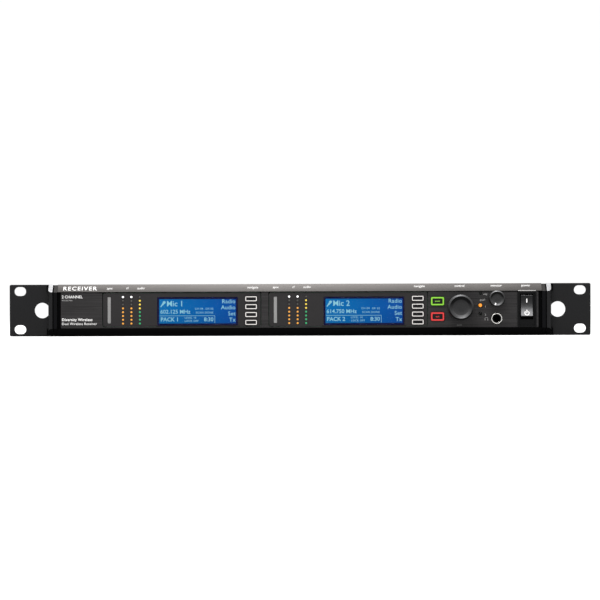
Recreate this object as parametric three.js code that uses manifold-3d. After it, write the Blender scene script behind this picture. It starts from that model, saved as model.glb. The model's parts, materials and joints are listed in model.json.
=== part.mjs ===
// A one-unit rack-mount dual wireless receiver: folded steel case, extruded front with a flat fascia,
// rack ears, two channel sections (sync window, meters, display, four keys each), two knobs, headphone jack
// and mains rocker.
// Millimetres. X is to the right as seen from the front, the front faces -Y, and Z is up.
// The parts are laid out from the rack rail's face at Y = 0 and the underside at Z = 0. The group then moves
// along Y, so that the origin is under the middle of the whole unit.
import * as THREE from 'three';
import { mergeVertices } from 'three/addons/utils/BufferGeometryUtils.js';
import Module from 'manifold-3d';

const wasm = await Module();
wasm.setup();

// ---------- Driving dimensions ----------
const RACK_WIDTH = 482.6;
const HEIGHT = 43;
const RACK_HOLES = { spanX: 465.1, spanZ: 31.75, slotLength: 10, slotHeight: 7.4 };
const ANTENNA_HOLE = { x: 214.2, radius: 6.45 };
const SHEET = 1.2;
const FIT = 0.2; // the gap left between neighbouring pieces
const INSERT_GAP = 0.6; // the wider shadow gap round each channel insert

const CASE = { halfWidth: 205, front: 0, rear: 293, wallTop: 41.1, coverTop: 42.6 };
const REAR_PANEL = { front: CASE.rear + FIT, rear: CASE.rear + FIT + SHEET };
const EAR = { thickness: 3, legInner: CASE.halfWidth + 0.3, legOuter: CASE.halfWidth + 2.4, legDepth: 52 };

const BEZEL = { halfWidth: 200.4, front: -12, back: -0.3, wall: 2, slopeTop: 36.75, slopeBottom: 6.1 };
const RECESS = { low: 6.45, high: 36.4, floor: -9.9, wallBack: -7.4 };
const FASCIA = { halfWidth: 197.6, low: 6.6, high: 36.25, front: -11.1, thickness: 1 };
const END_CAP = { inner: 200.6, outer: 208.2, back: -3.3, grooveInner: 203.7, grooveOuter: 204.5 };
// How far an end cap's inner strip and its groove lie below its outer bead.
const CAP_STEPS = { strip: 0.4, groove: 1.1 };
const CAP_LUG = { outer: 210.1, front: -5.3, height: 6.2 };

const MIDDLE_Z = 21.5;
const INSERT = { width: 130.6, height: 27.3, z: 21.8, radius: 1.6, front: -11, back: -8.5 };
const CHANNELS = [{ name: '1', x: -97.2 }, { name: '2', x: 40.6 }];
// Places along X inside a channel section are measured from the middle of its insert.
const SYNC = { x: -60.2, z: MIDDLE_Z, width: 2.6, height: 21.6 };
const METER = { columns: [-48.8, -41.8, -34.8], rows: 8, pitch: 3.14, z: MIDDLE_Z, hole: 1.05, pin: 0.85 };
const DISPLAY = { x: 13.1, z: 20.5, width: 66.6, height: 23.3, radius: 0.8 };
const KEY = { x: 57.5, z: 20.95, pitch: 6.5, count: 4, width: 10, height: 4.5, radius: 1, front: -12.2 };

const ENTER_KEY = { x: 114.4, z: 28.3 };
const EXIT_KEY = { x: 114.4, z: 15.6 };
const COMMAND_KEY = { width: 11.2, height: 7.3, radius: 1.2, front: -12.3 };

const CONTROL = { x: 133.2, z: 23.1, knobRadius: 10.5, knobFront: -25 };
const MONITOR = { x: 163, z: 30.2, knobRadius: 6.5, knobFront: -22 };
const KNOB_BACK = -12.8;
const SHAFT_RADIUS = 3;
const STATUS_LIGHTS = {
  x: 149.7,
  lamps: [{ z: 34.6, radius: 1.1 }, { z: 24.3, radius: 1.6 }, { z: 17.7, radius: 1.3 }],
};
const PHONES = { x: 163.2, z: 13.9, bushRadius: 4.55, boreRadius: 3.2 };

const POWER = { x: 188.1, z: 23.6, rimWidth: 15.6, rimLow: 6.7, rimHigh: 36.15, halfThrow: 9 };
const ROCKER = { width: 10.1, halfHeight: 8.85, pivotY: -6.5, edgeDepth: 5.2, middleDepth: 3.9 };

const FRONT_BOARD = { front: -3, thickness: 1.6, left: -196, right: 176, low: 3.5, high: 39.5 };
const MAIN_BOARD = { left: -150, right: 122, front: 60, rear: 264, low: 8, thickness: 1.6 };

const CONNECTOR_Z = 21.5;
const CONNECTOR_TIP = 308;
const ANTENNA_JACKS = [
  { name: 'antenna_jack_a', x: -188 },
  { name: 'cascade_jack_a', x: -160 },
  { name: 'cascade_jack_b', x: 92 },
  { name: 'antenna_jack_b', x: 120 },
];
const AUDIO_OUTPUTS = [{ name: '1', xlrX: -45, lineX: -17 }, { name: '2', xlrX: -118, lineX: -90 }];
const NETWORK = { x: 38, width: 34, height: 14, portWidth: 11.8, portHeight: 8.2 };
const MAINS = { x: 172, flangeWidth: 50, flangeHeight: 23, bodyWidth: 27.6, bodyHeight: 19.8 };

const MIDDLE_Y = (CONTROL.knobFront + CONNECTOR_TIP) / 2;

// ---------- Outlines ----------
const point = (x, y) => new THREE.Vector2(x, y);

function circle(cx, cy, radius, sides = 16) {
  const points = [];
  for (let i = 0; i < sides; i += 1) {
    const angle = (2 * Math.PI * i) / sides;
    points.push(point(cx + radius * Math.cos(angle), cy + radius * Math.sin(angle)));
  }
  return points;
}

function roundedBox(cx, cy, width, height, radius, steps = 3) {
  const points = [];
  const corners = [[1, 1, 0], [-1, 1, 90], [-1, -1, 180], [1, -1, 270]];
  for (const [sx, sy, start] of corners) {
    const x = cx + sx * (width / 2 - radius);
    const y = cy + sy * (height / 2 - radius);
    for (let i = 0; i <= steps; i += 1) {
      const angle = THREE.MathUtils.degToRad(start + (90 * i) / steps);
      points.push(point(x + radius * Math.cos(angle), y + radius * Math.sin(angle)));
    }
  }
  return points;
}

// A slot with round ends, its length along X.
const slot = (cx, cy, length, height) => roundedBox(cx, cy, length, height, height / 2 - 0.01, 5);

function outline(points, holes = []) {
  const shape = new THREE.Shape(points);
  shape.holes = holes.map((hole) => new THREE.Path(hole));
  return shape;
}

// ---------- Solids from outlines ----------
const extrusion = (shape, depth) => new THREE.ExtrudeGeometry(shape, { depth, bevelEnabled: false });

// An outline drawn in X and Z, extruded along Y from y0 to y1.
function alongY(points, holes, y0, y1) {
  return extrusion(outline(points, holes), y1 - y0).rotateX(Math.PI / 2).translate(0, y1, 0);
}

// An outline drawn in Y and Z, extruded along X from x0 to x1.
function alongX(points, x0, x1) {
  const turn = new THREE.Matrix4().makeBasis(
    new THREE.Vector3(0, 1, 0),
    new THREE.Vector3(0, 0, 1),
    new THREE.Vector3(1, 0, 0),
  );
  return extrusion(outline(points), x1 - x0).applyMatrix4(turn).translate(x0, 0, 0);
}

// An outline drawn in X and Y, extruded along Z from z0 to z1.
function alongZ(points, z0, z1) {
  return extrusion(outline(points), z1 - z0).translate(0, 0, z0);
}

function box(x0, x1, y0, y1, z0, z1) {
  const shape = new THREE.BoxGeometry(x1 - x0, y1 - y0, z1 - z0);
  return shape.translate((x0 + x1) / 2, (y0 + y1) / 2, (z0 + z1) / 2);
}

// A turned piece about an axis along Y through (cx, cz), from [radius, y] pairs.
function turned(profile, cx, cz, sides = 24) {
  const points = profile.map(([radius, y]) => point(radius, y));
  if (THREE.ShapeUtils.area(points) < 0) points.reverse();
  const onAxis = points[0].x === 0 && points[points.length - 1].x === 0;
  if (!onAxis) points.push(points[0].clone());
  return new THREE.LatheGeometry(points, sides).translate(cx, 0, cz);
}

const rod = (cx, cz, radius, y0, y1, sides = 20) => alongY(circle(cx, cz, radius, sides), [], y0, y1);

// ---------- Joining and cutting ----------
// Every corner is rounded to a micrometre, so that faces meant to be flush are exactly flush.
function solid(geometry) {
  const plain = geometry.clone();
  plain.deleteAttribute('normal');
  plain.deleteAttribute('uv');
  plain.attributes.position.array.forEach((value, i, all) => {
    all[i] = Math.round(value * 1000) / 1000;
  });
  const merged = mergeVertices(plain, 1e-4);
  return new wasm.Manifold(new wasm.Mesh({
    numProp: 3,
    vertProperties: new Float32Array(merged.attributes.position.array),
    triVerts: new Uint32Array(merged.index.array),
  }));
}

function geometry(made) {
  const mesh = made.getMesh();
  const result = new THREE.BufferGeometry();
  result.setAttribute('position', new THREE.BufferAttribute(new Float32Array(mesh.vertProperties), 3));
  result.setIndex(new THREE.BufferAttribute(new Uint32Array(mesh.triVerts), 1));
  result.computeVertexNormals();
  return result;
}

// Joins the pieces in the first list and cuts away those in the second.
function shaped(pieces, cuts = []) {
  let made = solid(pieces[0]);
  for (const piece of pieces.slice(1)) made = made.add(solid(piece));
  for (const cut of cuts) made = made.subtract(solid(cut));
  return geometry(made);
}

// ---------- Materials ----------
function finish(color, roughness, metalness) {
  return new THREE.MeshStandardMaterial({ color, roughness, metalness });
}

const MATERIALS = {
  blackSteel: finish(0x26262a, 0.55, 0.3),
  zincSteel: finish(0x9a9c9e, 0.4, 0.9),
  anodised: finish(0x37373a, 0.35, 0.8),
  fascia: finish(0x3a393b, 0.5, 0.2),
  insert: finish(0x424143, 0.5, 0),
  blackPlastic: finish(0x101012, 0.45, 0),
  softBlack: finish(0x18181a, 0.6, 0),
  glass: finish(0x1560c8, 0.1, 0),
  lightPipe: finish(0xd8b060, 0.3, 0),
  syncWindow: finish(0x8f8f8f, 0.35, 0),
  greenKey: finish(0x74c43c, 0.5, 0),
  redKey: finish(0xd8403c, 0.5, 0),
  nickel: finish(0xc9cacc, 0.25, 1),
  board: finish(0x1d5a34, 0.6, 0),
};

const unit = new THREE.Group();

function add(name, shape, material) {
  const mesh = new THREE.Mesh(shape, material);
  mesh.name = name;
  unit.add(mesh);
  return mesh;
}

// ---------- Case ----------
const EAR_SCREW = { y: 28, z: MIDDLE_Z, holeRadius: 2.2, shankRadius: 1.9, headRadius: 3.6 };

const sideHole = (y, z, radius, x0, x1) => alongX(circle(y, z, radius, 12), x0, x1);

function chassisTray() {
  const w = CASE.halfWidth;
  const top = CASE.wallTop;
  const pieces = [box(-w, w, CASE.front, CASE.rear, 0, SHEET)];
  const cuts = [];
  for (const side of [-1, 1]) {
    const wall = [side * (w - SHEET), side * w].sort((a, b) => a - b);
    const tab = [side * 198, side * w].sort((a, b) => a - b);
    pieces.push(box(...wall, CASE.front, CASE.rear, 0, top));
    pieces.push(box(...tab, CASE.front, CASE.front + SHEET, 0, top));
    cuts.push(sideHole(EAR_SCREW.y, EAR_SCREW.z, EAR_SCREW.holeRadius, wall[0] - 1, wall[1] + 1));
    for (let i = 0; i < 14; i += 1) {
      const y = 110 + 10 * i;
      cuts.push(box(wall[0] - 1, wall[1] + 1, y, y + 3.4, 11, 32));
    }
  }
  pieces.push(box(-w, w, CASE.front, CASE.front + SHEET, 0, 5));
  pieces.push(box(-w, w, CASE.rear - SHEET, CASE.rear, 0, 4));
  for (const x of [MAIN_BOARD.left + 6, -14, MAIN_BOARD.right - 6]) {
    for (const y of [MAIN_BOARD.front + 6, MAIN_BOARD.rear - 6]) {
      pieces.push(alongZ(circle(x, y, 3, 6), SHEET / 2, MAIN_BOARD.low - FIT));
    }
  }
  return shaped(pieces, cuts);
}

function topCover() {
  const low = CASE.wallTop + 0.3;
  const pieces = [box(-CASE.halfWidth, CASE.halfWidth, CASE.front, REAR_PANEL.rear, low, CASE.coverTop)];
  for (const side of [-1, 1]) {
    const flange = [side * 202.2, side * 203.4].sort((a, b) => a - b);
    pieces.push(box(...flange, 4, 290, 34, low + SHEET / 2));
  }
  return shaped(pieces);
}

function rearPanel() {
  const holes = [];
  for (const jack of ANTENNA_JACKS) holes.push(circle(jack.x, CONNECTOR_Z, 5.5));
  for (const output of AUDIO_OUTPUTS) {
    holes.push(circle(output.xlrX, CONNECTOR_Z, 11.8, 24));
    holes.push(circle(output.lineX, CONNECTOR_Z, 5));
  }
  holes.push(roundedBox(NETWORK.x, CONNECTOR_Z, NETWORK.width + 0.5, NETWORK.height + 0.5, 0.4, 1));
  holes.push(roundedBox(MAINS.x, CONNECTOR_Z, MAINS.bodyWidth + 0.5, MAINS.bodyHeight + 0.5, 0.6, 1));
  for (let i = 0; i < 6; i += 1) holes.push(roundedBox(64 + 3.6 * i, CONNECTOR_Z, 1.8, 24, 0.6, 1));
  const edge = roundedBox(0, CASE.wallTop / 2, 2 * CASE.halfWidth, CASE.wallTop, 0.5, 1);
  return alongY(edge, holes, REAR_PANEL.front, REAR_PANEL.rear);
}

add('chassis_tray', chassisTray(), MATERIALS.blackSteel);
add('top_cover', topCover(), MATERIALS.blackSteel);
add('rear_panel', rearPanel(), MATERIALS.blackSteel);

// ---------- Rack ears ----------
function rackEar(side) {
  const outer = RACK_WIDTH / 2;
  const middle = (EAR.legInner + outer) / 2;
  const plate = roundedBox(side * middle, HEIGHT / 2, outer - EAR.legInner, HEIGHT, 1.2, 2);
  const holes = [circle(side * ANTENNA_HOLE.x, HEIGHT / 2, ANTENNA_HOLE.radius, 28)];
  for (const end of [-1, 1]) {
    const z = HEIGHT / 2 + (end * RACK_HOLES.spanZ) / 2;
    holes.push(slot((side * RACK_HOLES.spanX) / 2, z, RACK_HOLES.slotLength, RACK_HOLES.slotHeight));
  }
  const leg = [side * EAR.legInner, side * EAR.legOuter].sort((a, b) => a - b);
  const pieces = [alongY(plate, holes, -EAR.thickness, 0), box(...leg, -EAR.thickness, EAR.legDepth, 3, 40)];
  const screwHole = sideHole(EAR_SCREW.y, EAR_SCREW.z, EAR_SCREW.holeRadius, leg[0] - 1, leg[1] + 1);
  return shaped(pieces, [screwHole]);
}

// A pan-head screw, its head outside the ear's leg.
function earScrew(side) {
  const under = EAR.legOuter + 0.1;
  const profile = [
    [0, under - 6], [EAR_SCREW.shankRadius, under - 6], [EAR_SCREW.shankRadius, under],
    [EAR_SCREW.headRadius, under], [EAR_SCREW.headRadius, under + 0.7], [2.6, under + 1.6], [0, under + 1.6],
  ];
  return turned(profile, 0, 0, 12).rotateZ((-side * Math.PI) / 2).translate(0, EAR_SCREW.y, EAR_SCREW.z);
}

for (const [side, word] of [[-1, 'left'], [1, 'right']]) {
  add(`rack_ear_${word}`, rackEar(side), MATERIALS.blackSteel);
  add(`ear_screw_${word}`, earScrew(side), MATERIALS.blackSteel);
}

// ---------- Front extrusion, fascia and end caps ----------
const slopeStartTop = BEZEL.front + (HEIGHT - BEZEL.slopeTop);
const slopeStartBottom = BEZEL.front + BEZEL.slopeBottom;

// The extrusion's section in Y and Z: sloped top and bottom edges, a recess for the fascia, open at the back.
const bezelSection = [
  [BEZEL.back, HEIGHT], [slopeStartTop, HEIGHT], [BEZEL.front, BEZEL.slopeTop], [BEZEL.front, RECESS.high],
  [RECESS.floor, RECESS.high], [RECESS.floor, RECESS.low], [BEZEL.front, RECESS.low],
  [BEZEL.front, BEZEL.slopeBottom], [slopeStartBottom, 0], [BEZEL.back, 0], [BEZEL.back, BEZEL.wall],
  [slopeStartBottom + 0.8, BEZEL.wall], [RECESS.wallBack, 4.8], [RECESS.wallBack, 38.6],
  [slopeStartTop + 0.8, HEIGHT - BEZEL.wall], [BEZEL.back, HEIGHT - BEZEL.wall],
].map(([y, z]) => point(y, z));

// The openings for the keys, knobs, lights, jack and switch, shared by the extrusion and the fascia.
function controlOpenings(play) {
  const { width, height, radius } = COMMAND_KEY;
  const openings = [ENTER_KEY, EXIT_KEY].map((key) => (
    roundedBox(key.x, key.z, width + 2 * play, height + 2 * play, radius + play)
  ));
  for (const knob of [CONTROL, MONITOR]) openings.push(circle(knob.x, knob.z, 3.6 + play, 16));
  for (const lamp of STATUS_LIGHTS.lamps) {
    openings.push(circle(STATUS_LIGHTS.x, lamp.z, lamp.radius + play, 12));
  }
  openings.push(circle(PHONES.x, PHONES.z, PHONES.bushRadius + play, 20));
  const switchMiddle = (POWER.rimLow + POWER.rimHigh) / 2;
  openings.push(roundedBox(POWER.x, switchMiddle, 14.4 + 2 * play, 28.6 + 2 * play, 0.2, 1));
  return openings;
}

// The opening for a channel insert, carried up to the height of its top.
function insertOpening(cx, play, top) {
  const low = INSERT.z - INSERT.height / 2 - play;
  return roundedBox(cx, (low + top) / 2, INSERT.width + 2 * play, top - low, INSERT.radius + play);
}

function frontExtrusion() {
  const play = INSERT_GAP + 0.1;
  const insertTop = INSERT.z + INSERT.height / 2 + play;
  const inserts = CHANNELS.map((channel) => insertOpening(channel.x, play, insertTop));
  const openings = inserts.concat(controlOpenings(0.3));
  const cuts = openings.map((opening) => alongY(opening, [], RECESS.floor - 0.5, RECESS.wallBack + 0.5));
  return shaped([alongX(bezelSection, -BEZEL.halfWidth, BEZEL.halfWidth)], cuts);
}

// The fascia is notched from its top edge for each channel insert.
function fasciaPanel() {
  const middle = (FASCIA.low + FASCIA.high) / 2;
  const back = FASCIA.front + FASCIA.thickness;
  const edge = roundedBox(0, middle, 2 * FASCIA.halfWidth, FASCIA.high - FASCIA.low, 0.4, 1);
  const notches = CHANNELS.map((channel) => (
    alongY(insertOpening(channel.x, INSERT_GAP, FASCIA.high + 5), [], FASCIA.front - 1, back + 1)
  ));
  return shaped([alongY(edge, controlOpenings(FIT), FASCIA.front, back)], notches);
}

// An end cap's section in Y and Z: the extrusion's slopes, moved inwards by the inset.
function capSection(inset) {
  const corner = inset * Math.tan(Math.PI / 8);
  return [
    [END_CAP.back, HEIGHT - inset], [slopeStartTop + corner, HEIGHT - inset],
    [BEZEL.front + inset, BEZEL.slopeTop - corner], [BEZEL.front + inset, BEZEL.slopeBottom + corner],
    [slopeStartBottom + corner, inset], [END_CAP.back, inset],
  ].map(([y, z]) => point(y, z));
}

// An end cap in plan, with its outer front edge rounded.
function capPlan(side) {
  const cornerRadius = 2.2;
  const hidden = END_CAP.back + 1;
  const points = [point(side * END_CAP.inner, hidden), point(side * END_CAP.outer, hidden)];
  for (let i = 0; i <= 5; i += 1) {
    const angle = (Math.PI / 2) * (i / 5);
    const x = END_CAP.outer - cornerRadius + cornerRadius * Math.cos(angle);
    points.push(point(side * x, BEZEL.front + cornerRadius - cornerRadius * Math.sin(angle)));
  }
  points.push(point(side * END_CAP.inner, BEZEL.front));
  return THREE.ShapeUtils.area(points) < 0 ? points.reverse() : points;
}

// An end cap: a full outer bead, a groove, a lower inner strip, and lugs at both ends lapping the ear.
function endCap(side) {
  const strip = (inner, outer, inset) => {
    const ends = [side * inner, side * outer].sort((a, b) => a - b);
    return solid(alongX(capSection(inset), ...ends));
  };
  const plan = solid(alongZ(capPlan(side), -1, HEIGHT + 1));
  const bead = strip(END_CAP.grooveOuter, END_CAP.outer, 0).intersect(plan);
  const lugEnds = [side * (END_CAP.outer - 1), side * CAP_LUG.outer].sort((a, b) => a - b);
  const lug = (low) => solid(box(...lugEnds, CAP_LUG.front, END_CAP.back, low, low + CAP_LUG.height));
  return geometry(bead
    .add(strip(END_CAP.grooveInner, END_CAP.grooveOuter, CAP_STEPS.groove))
    .add(strip(END_CAP.inner, END_CAP.grooveInner, CAP_STEPS.strip))
    .add(lug(0))
    .add(lug(HEIGHT - CAP_LUG.height)));
}

add('front_extrusion', frontExtrusion(), MATERIALS.anodised);
add('fascia_panel', fasciaPanel(), MATERIALS.fascia);
add('end_cap_left', endCap(-1), MATERIALS.anodised);
add('end_cap_right', endCap(1), MATERIALS.anodised);

// ---------- Channel sections ----------
const meterHeights = Array.from(
  { length: METER.rows }, (_, i) => METER.z + (i - (METER.rows - 1) / 2) * METER.pitch,
);
const keyHeights = Array.from({ length: KEY.count }, (_, i) => KEY.z + ((KEY.count - 1) / 2 - i) * KEY.pitch);

function channelInsert(cx) {
  const { width, height, radius } = DISPLAY;
  const holes = [
    roundedBox(cx + SYNC.x, SYNC.z, SYNC.width + 2 * FIT, SYNC.height + 2 * FIT, 0.3, 1),
    roundedBox(cx + DISPLAY.x, DISPLAY.z, width + 2 * FIT, height + 2 * FIT, radius, 2),
  ];
  for (const column of METER.columns) {
    for (const z of meterHeights) holes.push(circle(cx + column, z, METER.hole, 6));
  }
  for (const z of keyHeights) {
    holes.push(roundedBox(cx + KEY.x, z, KEY.width + 2 * FIT, KEY.height + 2 * FIT, KEY.radius + FIT, 2));
  }
  const edge = roundedBox(cx, INSERT.z, INSERT.width, INSERT.height, INSERT.radius);
  return alongY(edge, holes, INSERT.front, INSERT.back);
}

// A window bar with a wider flange behind the insert.
function syncWindow(cx) {
  const bar = roundedBox(cx + SYNC.x, SYNC.z, SYNC.width, SYNC.height, 0.3, 1);
  const flange = roundedBox(cx + SYNC.x, SYNC.z, SYNC.width + 2, SYNC.height + 2, 0.3, 1);
  return shaped([alongY(bar, [], INSERT.front - 0.1, -8), alongY(flange, [], INSERT.back + FIT, -7.6)]);
}

// One clear moulding per channel: a back plate with a pin for each lamp of the three meters.
function meterLightPipe(cx) {
  const plate = roundedBox(cx + METER.columns[1], METER.z, 18.4, 24.6, 0.5, 1);
  const pieces = [alongY(plate, [], INSERT.back + FIT, -7.5)];
  for (const column of METER.columns) {
    for (const z of meterHeights) pieces.push(rod(cx + column, z, METER.pin, INSERT.front - 0.2, -8, 6));
  }
  return shaped(pieces);
}

function displayLens(cx) {
  const outline = roundedBox(cx + DISPLAY.x, DISPLAY.z, DISPLAY.width, DISPLAY.height, DISPLAY.radius, 2);
  return alongY(outline, [], INSERT.front, -9.6);
}

// A metal-framed panel with a glass step on its front.
function lcdModule(cx) {
  const frame = roundedBox(cx + DISPLAY.x, DISPLAY.z, 71, 25.4, 0.8, 1);
  const glass = roundedBox(cx + DISPLAY.x, DISPLAY.z, 65.6, 22.4, 0.4, 1);
  return shaped([alongY(frame, [], -8.1, FRONT_BOARD.front - 0.3), alongY(glass, [], -9.2, -7.9)]);
}

// A key: its cap, a retaining flange behind the panel, and a stem that reaches for its switch.
function keyCap(x, z, size, flangeFront, stemBack) {
  const cap = roundedBox(x, z, size.width, size.height, size.radius, 2);
  const flange = roundedBox(x, z, size.width + 1.4, size.height + 0.9, size.radius, 1);
  return shaped([
    alongY(cap, [], size.front, flangeFront + 0.1),
    alongY(flange, [], flangeFront, flangeFront + 0.6),
    box(x - 1.5, x + 1.5, flangeFront + 0.5, stemBack, z - 1, z + 1),
  ]);
}

for (const channel of CHANNELS) {
  const { name, x } = channel;
  add(`channel_insert_${name}`, channelInsert(x), MATERIALS.insert);
  add(`sync_window_${name}`, syncWindow(x), MATERIALS.syncWindow);
  add(`meter_light_pipe_${name}`, meterLightPipe(x), MATERIALS.lightPipe);
  add(`display_lens_${name}`, displayLens(x), MATERIALS.glass);
  add(`lcd_module_${name}`, lcdModule(x), MATERIALS.zincSteel);
  keyHeights.forEach((z, i) => {
    const cap = keyCap(x + KEY.x, z, KEY, INSERT.back + FIT, -7.1);
    add(`navigate_key_${name}_${i + 1}`, cap, MATERIALS.softBlack);
  });
}

const COMMAND_FLANGE = RECESS.wallBack + FIT;
const COMMAND_STEM = -5.5;
for (const [name, key, material] of [
  ['enter_key', ENTER_KEY, MATERIALS.greenKey], ['exit_key', EXIT_KEY, MATERIALS.redKey],
]) {
  add(name, keyCap(key.x, key.z, COMMAND_KEY, COMMAND_FLANGE, COMMAND_STEM), material);
}

// ---------- Knobs and their encoders ----------
// A turned knob with a dished front, a hollow back round the bushing, and a blind bore for the shaft.
function knob(place, sides) {
  const r = place.knobRadius;
  const front = place.knobFront;
  const dish = 0.62 * r;
  const bore = SHAFT_RADIUS + 0.15;
  return turned([
    [0, front + 1.8], [dish, front + 1.8], [0.9 * r, front + 0.1], [0.95 * r, front], [r, front + 0.8],
    [r, KNOB_BACK], [4.4, KNOB_BACK], [4.4, KNOB_BACK - 1.8], [bore, KNOB_BACK - 1.8], [bore, front + 4],
    [0, front + 4],
  ], place.x, place.z, sides);
}

// The body behind the panel: a case, a threaded bushing, a bore for the shaft and a chamber for the rotor.
function encoderBody(place) {
  const case_ = box(place.x - 6, place.x + 6, -7.2, FRONT_BOARD.front - FIT, place.z - 6, place.z + 6);
  const cuts = [
    rod(place.x, place.z, SHAFT_RADIUS + 0.15, -13, -6.5, 20),
    rod(place.x, place.z, 5, -6.6, -3.8, 20),
  ];
  return shaped([case_, rod(place.x, place.z, 3.6, -12.6, -7, 20)], cuts);
}

const rotor = (place) => turned(
  [[SHAFT_RADIUS + 0.1, -6.3], [4.7, -6.3], [4.7, -5.3], [SHAFT_RADIUS + 0.1, -5.3]], place.x, place.z, 20,
);

// A shaft with a flat on the end that the knob grips.
function shaft(place, rear) {
  const tip = place.knobFront + 4.3;
  const flat = box(place.x - 4, place.x + 4, tip - 1, tip + 6, place.z + 2, place.z + 4);
  return shaped([rod(place.x, place.z, SHAFT_RADIUS, tip, rear, 20)], [flat]);
}

add('control_knob', knob(CONTROL, 32), MATERIALS.softBlack);
add('control_shaft', shaft(CONTROL, -4.9), MATERIALS.zincSteel);
add('control_rotor', rotor(CONTROL), MATERIALS.zincSteel);
add('control_encoder', encoderBody(CONTROL), MATERIALS.zincSteel);
add('monitor_knob', knob(MONITOR, 24), MATERIALS.softBlack);
add('monitor_shaft', shaft(MONITOR, -4.9), MATERIALS.zincSteel);
add('monitor_rotor', rotor(MONITOR), MATERIALS.zincSteel);
add('monitor_volume_body', encoderBody(MONITOR), MATERIALS.zincSteel);

// ---------- Status lights and headphone jack ----------
function statusLightPipe() {
  const { x, lamps } = STATUS_LIGHTS;
  const bar = box(x - 1.8, x + 1.8, -7.1, -6.1, lamps[2].z - 2, lamps[0].z + 1.6);
  return shaped([bar, ...lamps.map((lamp) => rod(x, lamp.z, lamp.radius, -11.5, -6.6, 12))]);
}

const phonesBush = turned(
  [[PHONES.boreRadius, -12], [PHONES.bushRadius, -12], [PHONES.bushRadius, -1], [PHONES.boreRadius, -1]],
  PHONES.x, PHONES.z, 24,
);
const phonesBody = shaped(
  [box(PHONES.x - 6.5, PHONES.x + 6.5, -0.7, 24, PHONES.z - 6.5, PHONES.z + 6.5)],
  [rod(PHONES.x, PHONES.z, PHONES.boreRadius, -2, 22, 16)],
);
add('monitor_light_pipe', statusLightPipe(), MATERIALS.lightPipe);
add('headphone_jack_bushing', phonesBush, MATERIALS.nickel);
add('headphone_jack_body', phonesBody, MATERIALS.blackPlastic);

// ---------- Mains rocker ----------
const rockerReach = Math.hypot(ROCKER.halfHeight, ROCKER.edgeDepth);
const rockerCavity = rockerReach + 0.35;

// A rim round a deep well, and the housing that holds the rocker's pins.
function switchFrame() {
  const { x, z } = POWER;
  const middle = (POWER.rimLow + POWER.rimHigh) / 2;
  const side = ROCKER.width / 2 + 0.3;
  const rim = roundedBox(x, middle, POWER.rimWidth, POWER.rimHigh - POWER.rimLow, 0.8, 2);
  const pieces = [
    alongY(rim, [], -11.9, FASCIA.front - FIT),
    box(x - 7.2, x + 7.2, -11.5, -7.6, middle - 14.3, middle + 14.3),
    box(x - 6.6, x + 6.6, -7.7, 9, z - 12, z + 12),
  ];
  const well = roundedBox(x, middle, 13.6, 27.6, 0.6, 2);
  const cuts = [
    alongY(well, [], -12.5, -9.2),
    box(x - side, x + side, -9.5, 1, z - rockerCavity, z + rockerCavity),
    alongX(circle(ROCKER.pivotY, z, 1.4, 10), x - side - 1, x + side + 1),
  ];
  return shaped(pieces, cuts);
}

// The rocker's section about its pivot, in Y and Z: a hollowed front and ends that are arcs round the pivot.
function rockerSection() {
  const points = [];
  for (let i = -4; i <= 4; i += 1) {
    const share = i / 4;
    const depth = ROCKER.middleDepth + (ROCKER.edgeDepth - ROCKER.middleDepth) * share * share;
    points.push(point(-depth, share * ROCKER.halfHeight));
  }
  const start = Math.asin(ROCKER.edgeDepth / rockerReach);
  for (let i = 1; i <= 4; i += 1) {
    const angle = start * (1 - i / 4);
    points.push(point(-rockerReach * Math.sin(angle), rockerReach * Math.cos(angle)));
  }
  points.push(point(3, 6), point(3, -6));
  for (let i = 4; i >= 1; i -= 1) {
    const angle = start * (1 - i / 4);
    points.push(point(-rockerReach * Math.sin(angle), -rockerReach * Math.cos(angle)));
  }
  if (THREE.ShapeUtils.area(points) < 0) points.reverse();
  return points;
}

const half = ROCKER.width / 2;
const rockerShape = shaped([
  alongX(rockerSection(), -half, half),
  alongX(circle(0, 0, 1.1, 10), -half - 0.9, half + 0.9),
]);
add('power_switch_frame', switchFrame(), MATERIALS.blackPlastic);
const rocker = add('power_rocker', rockerShape, MATERIALS.blackPlastic);
rocker.position.set(POWER.x, ROCKER.pivotY, POWER.z);
rocker.rotation.x = THREE.MathUtils.degToRad(-POWER.halfThrow);

// ---------- Rear connectors ----------
// A bayonet jack: flange, barrel with two lugs, hollow mouth and centre contact.
function antennaJack(x) {
  const tip = CONNECTOR_TIP;
  const seat = REAR_PANEL.rear + FIT;
  const barrel = turned([
    [0, 279], [5.2, 279], [5.2, seat], [7.5, seat], [7.5, seat + 2.3], [4.85, seat + 2.3], [4.85, tip],
    [4.05, tip], [4.05, tip - 9], [1.5, tip - 9], [1.5, tip - 1.6], [0, tip - 1.6],
  ], x, CONNECTOR_Z, 16);
  const lug = (end) => box(x - 1, x + 1, tip - 5, tip - 3, CONNECTOR_Z + end * 4.5, CONNECTOR_Z + end * 6);
  const lugs = [-1, 1].map((end) => {
    const shape = lug(end);
    if (end < 0) shape.index.array.reverse();
    return shape;
  });
  return shaped([barrel, ...lugs]);
}

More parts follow.
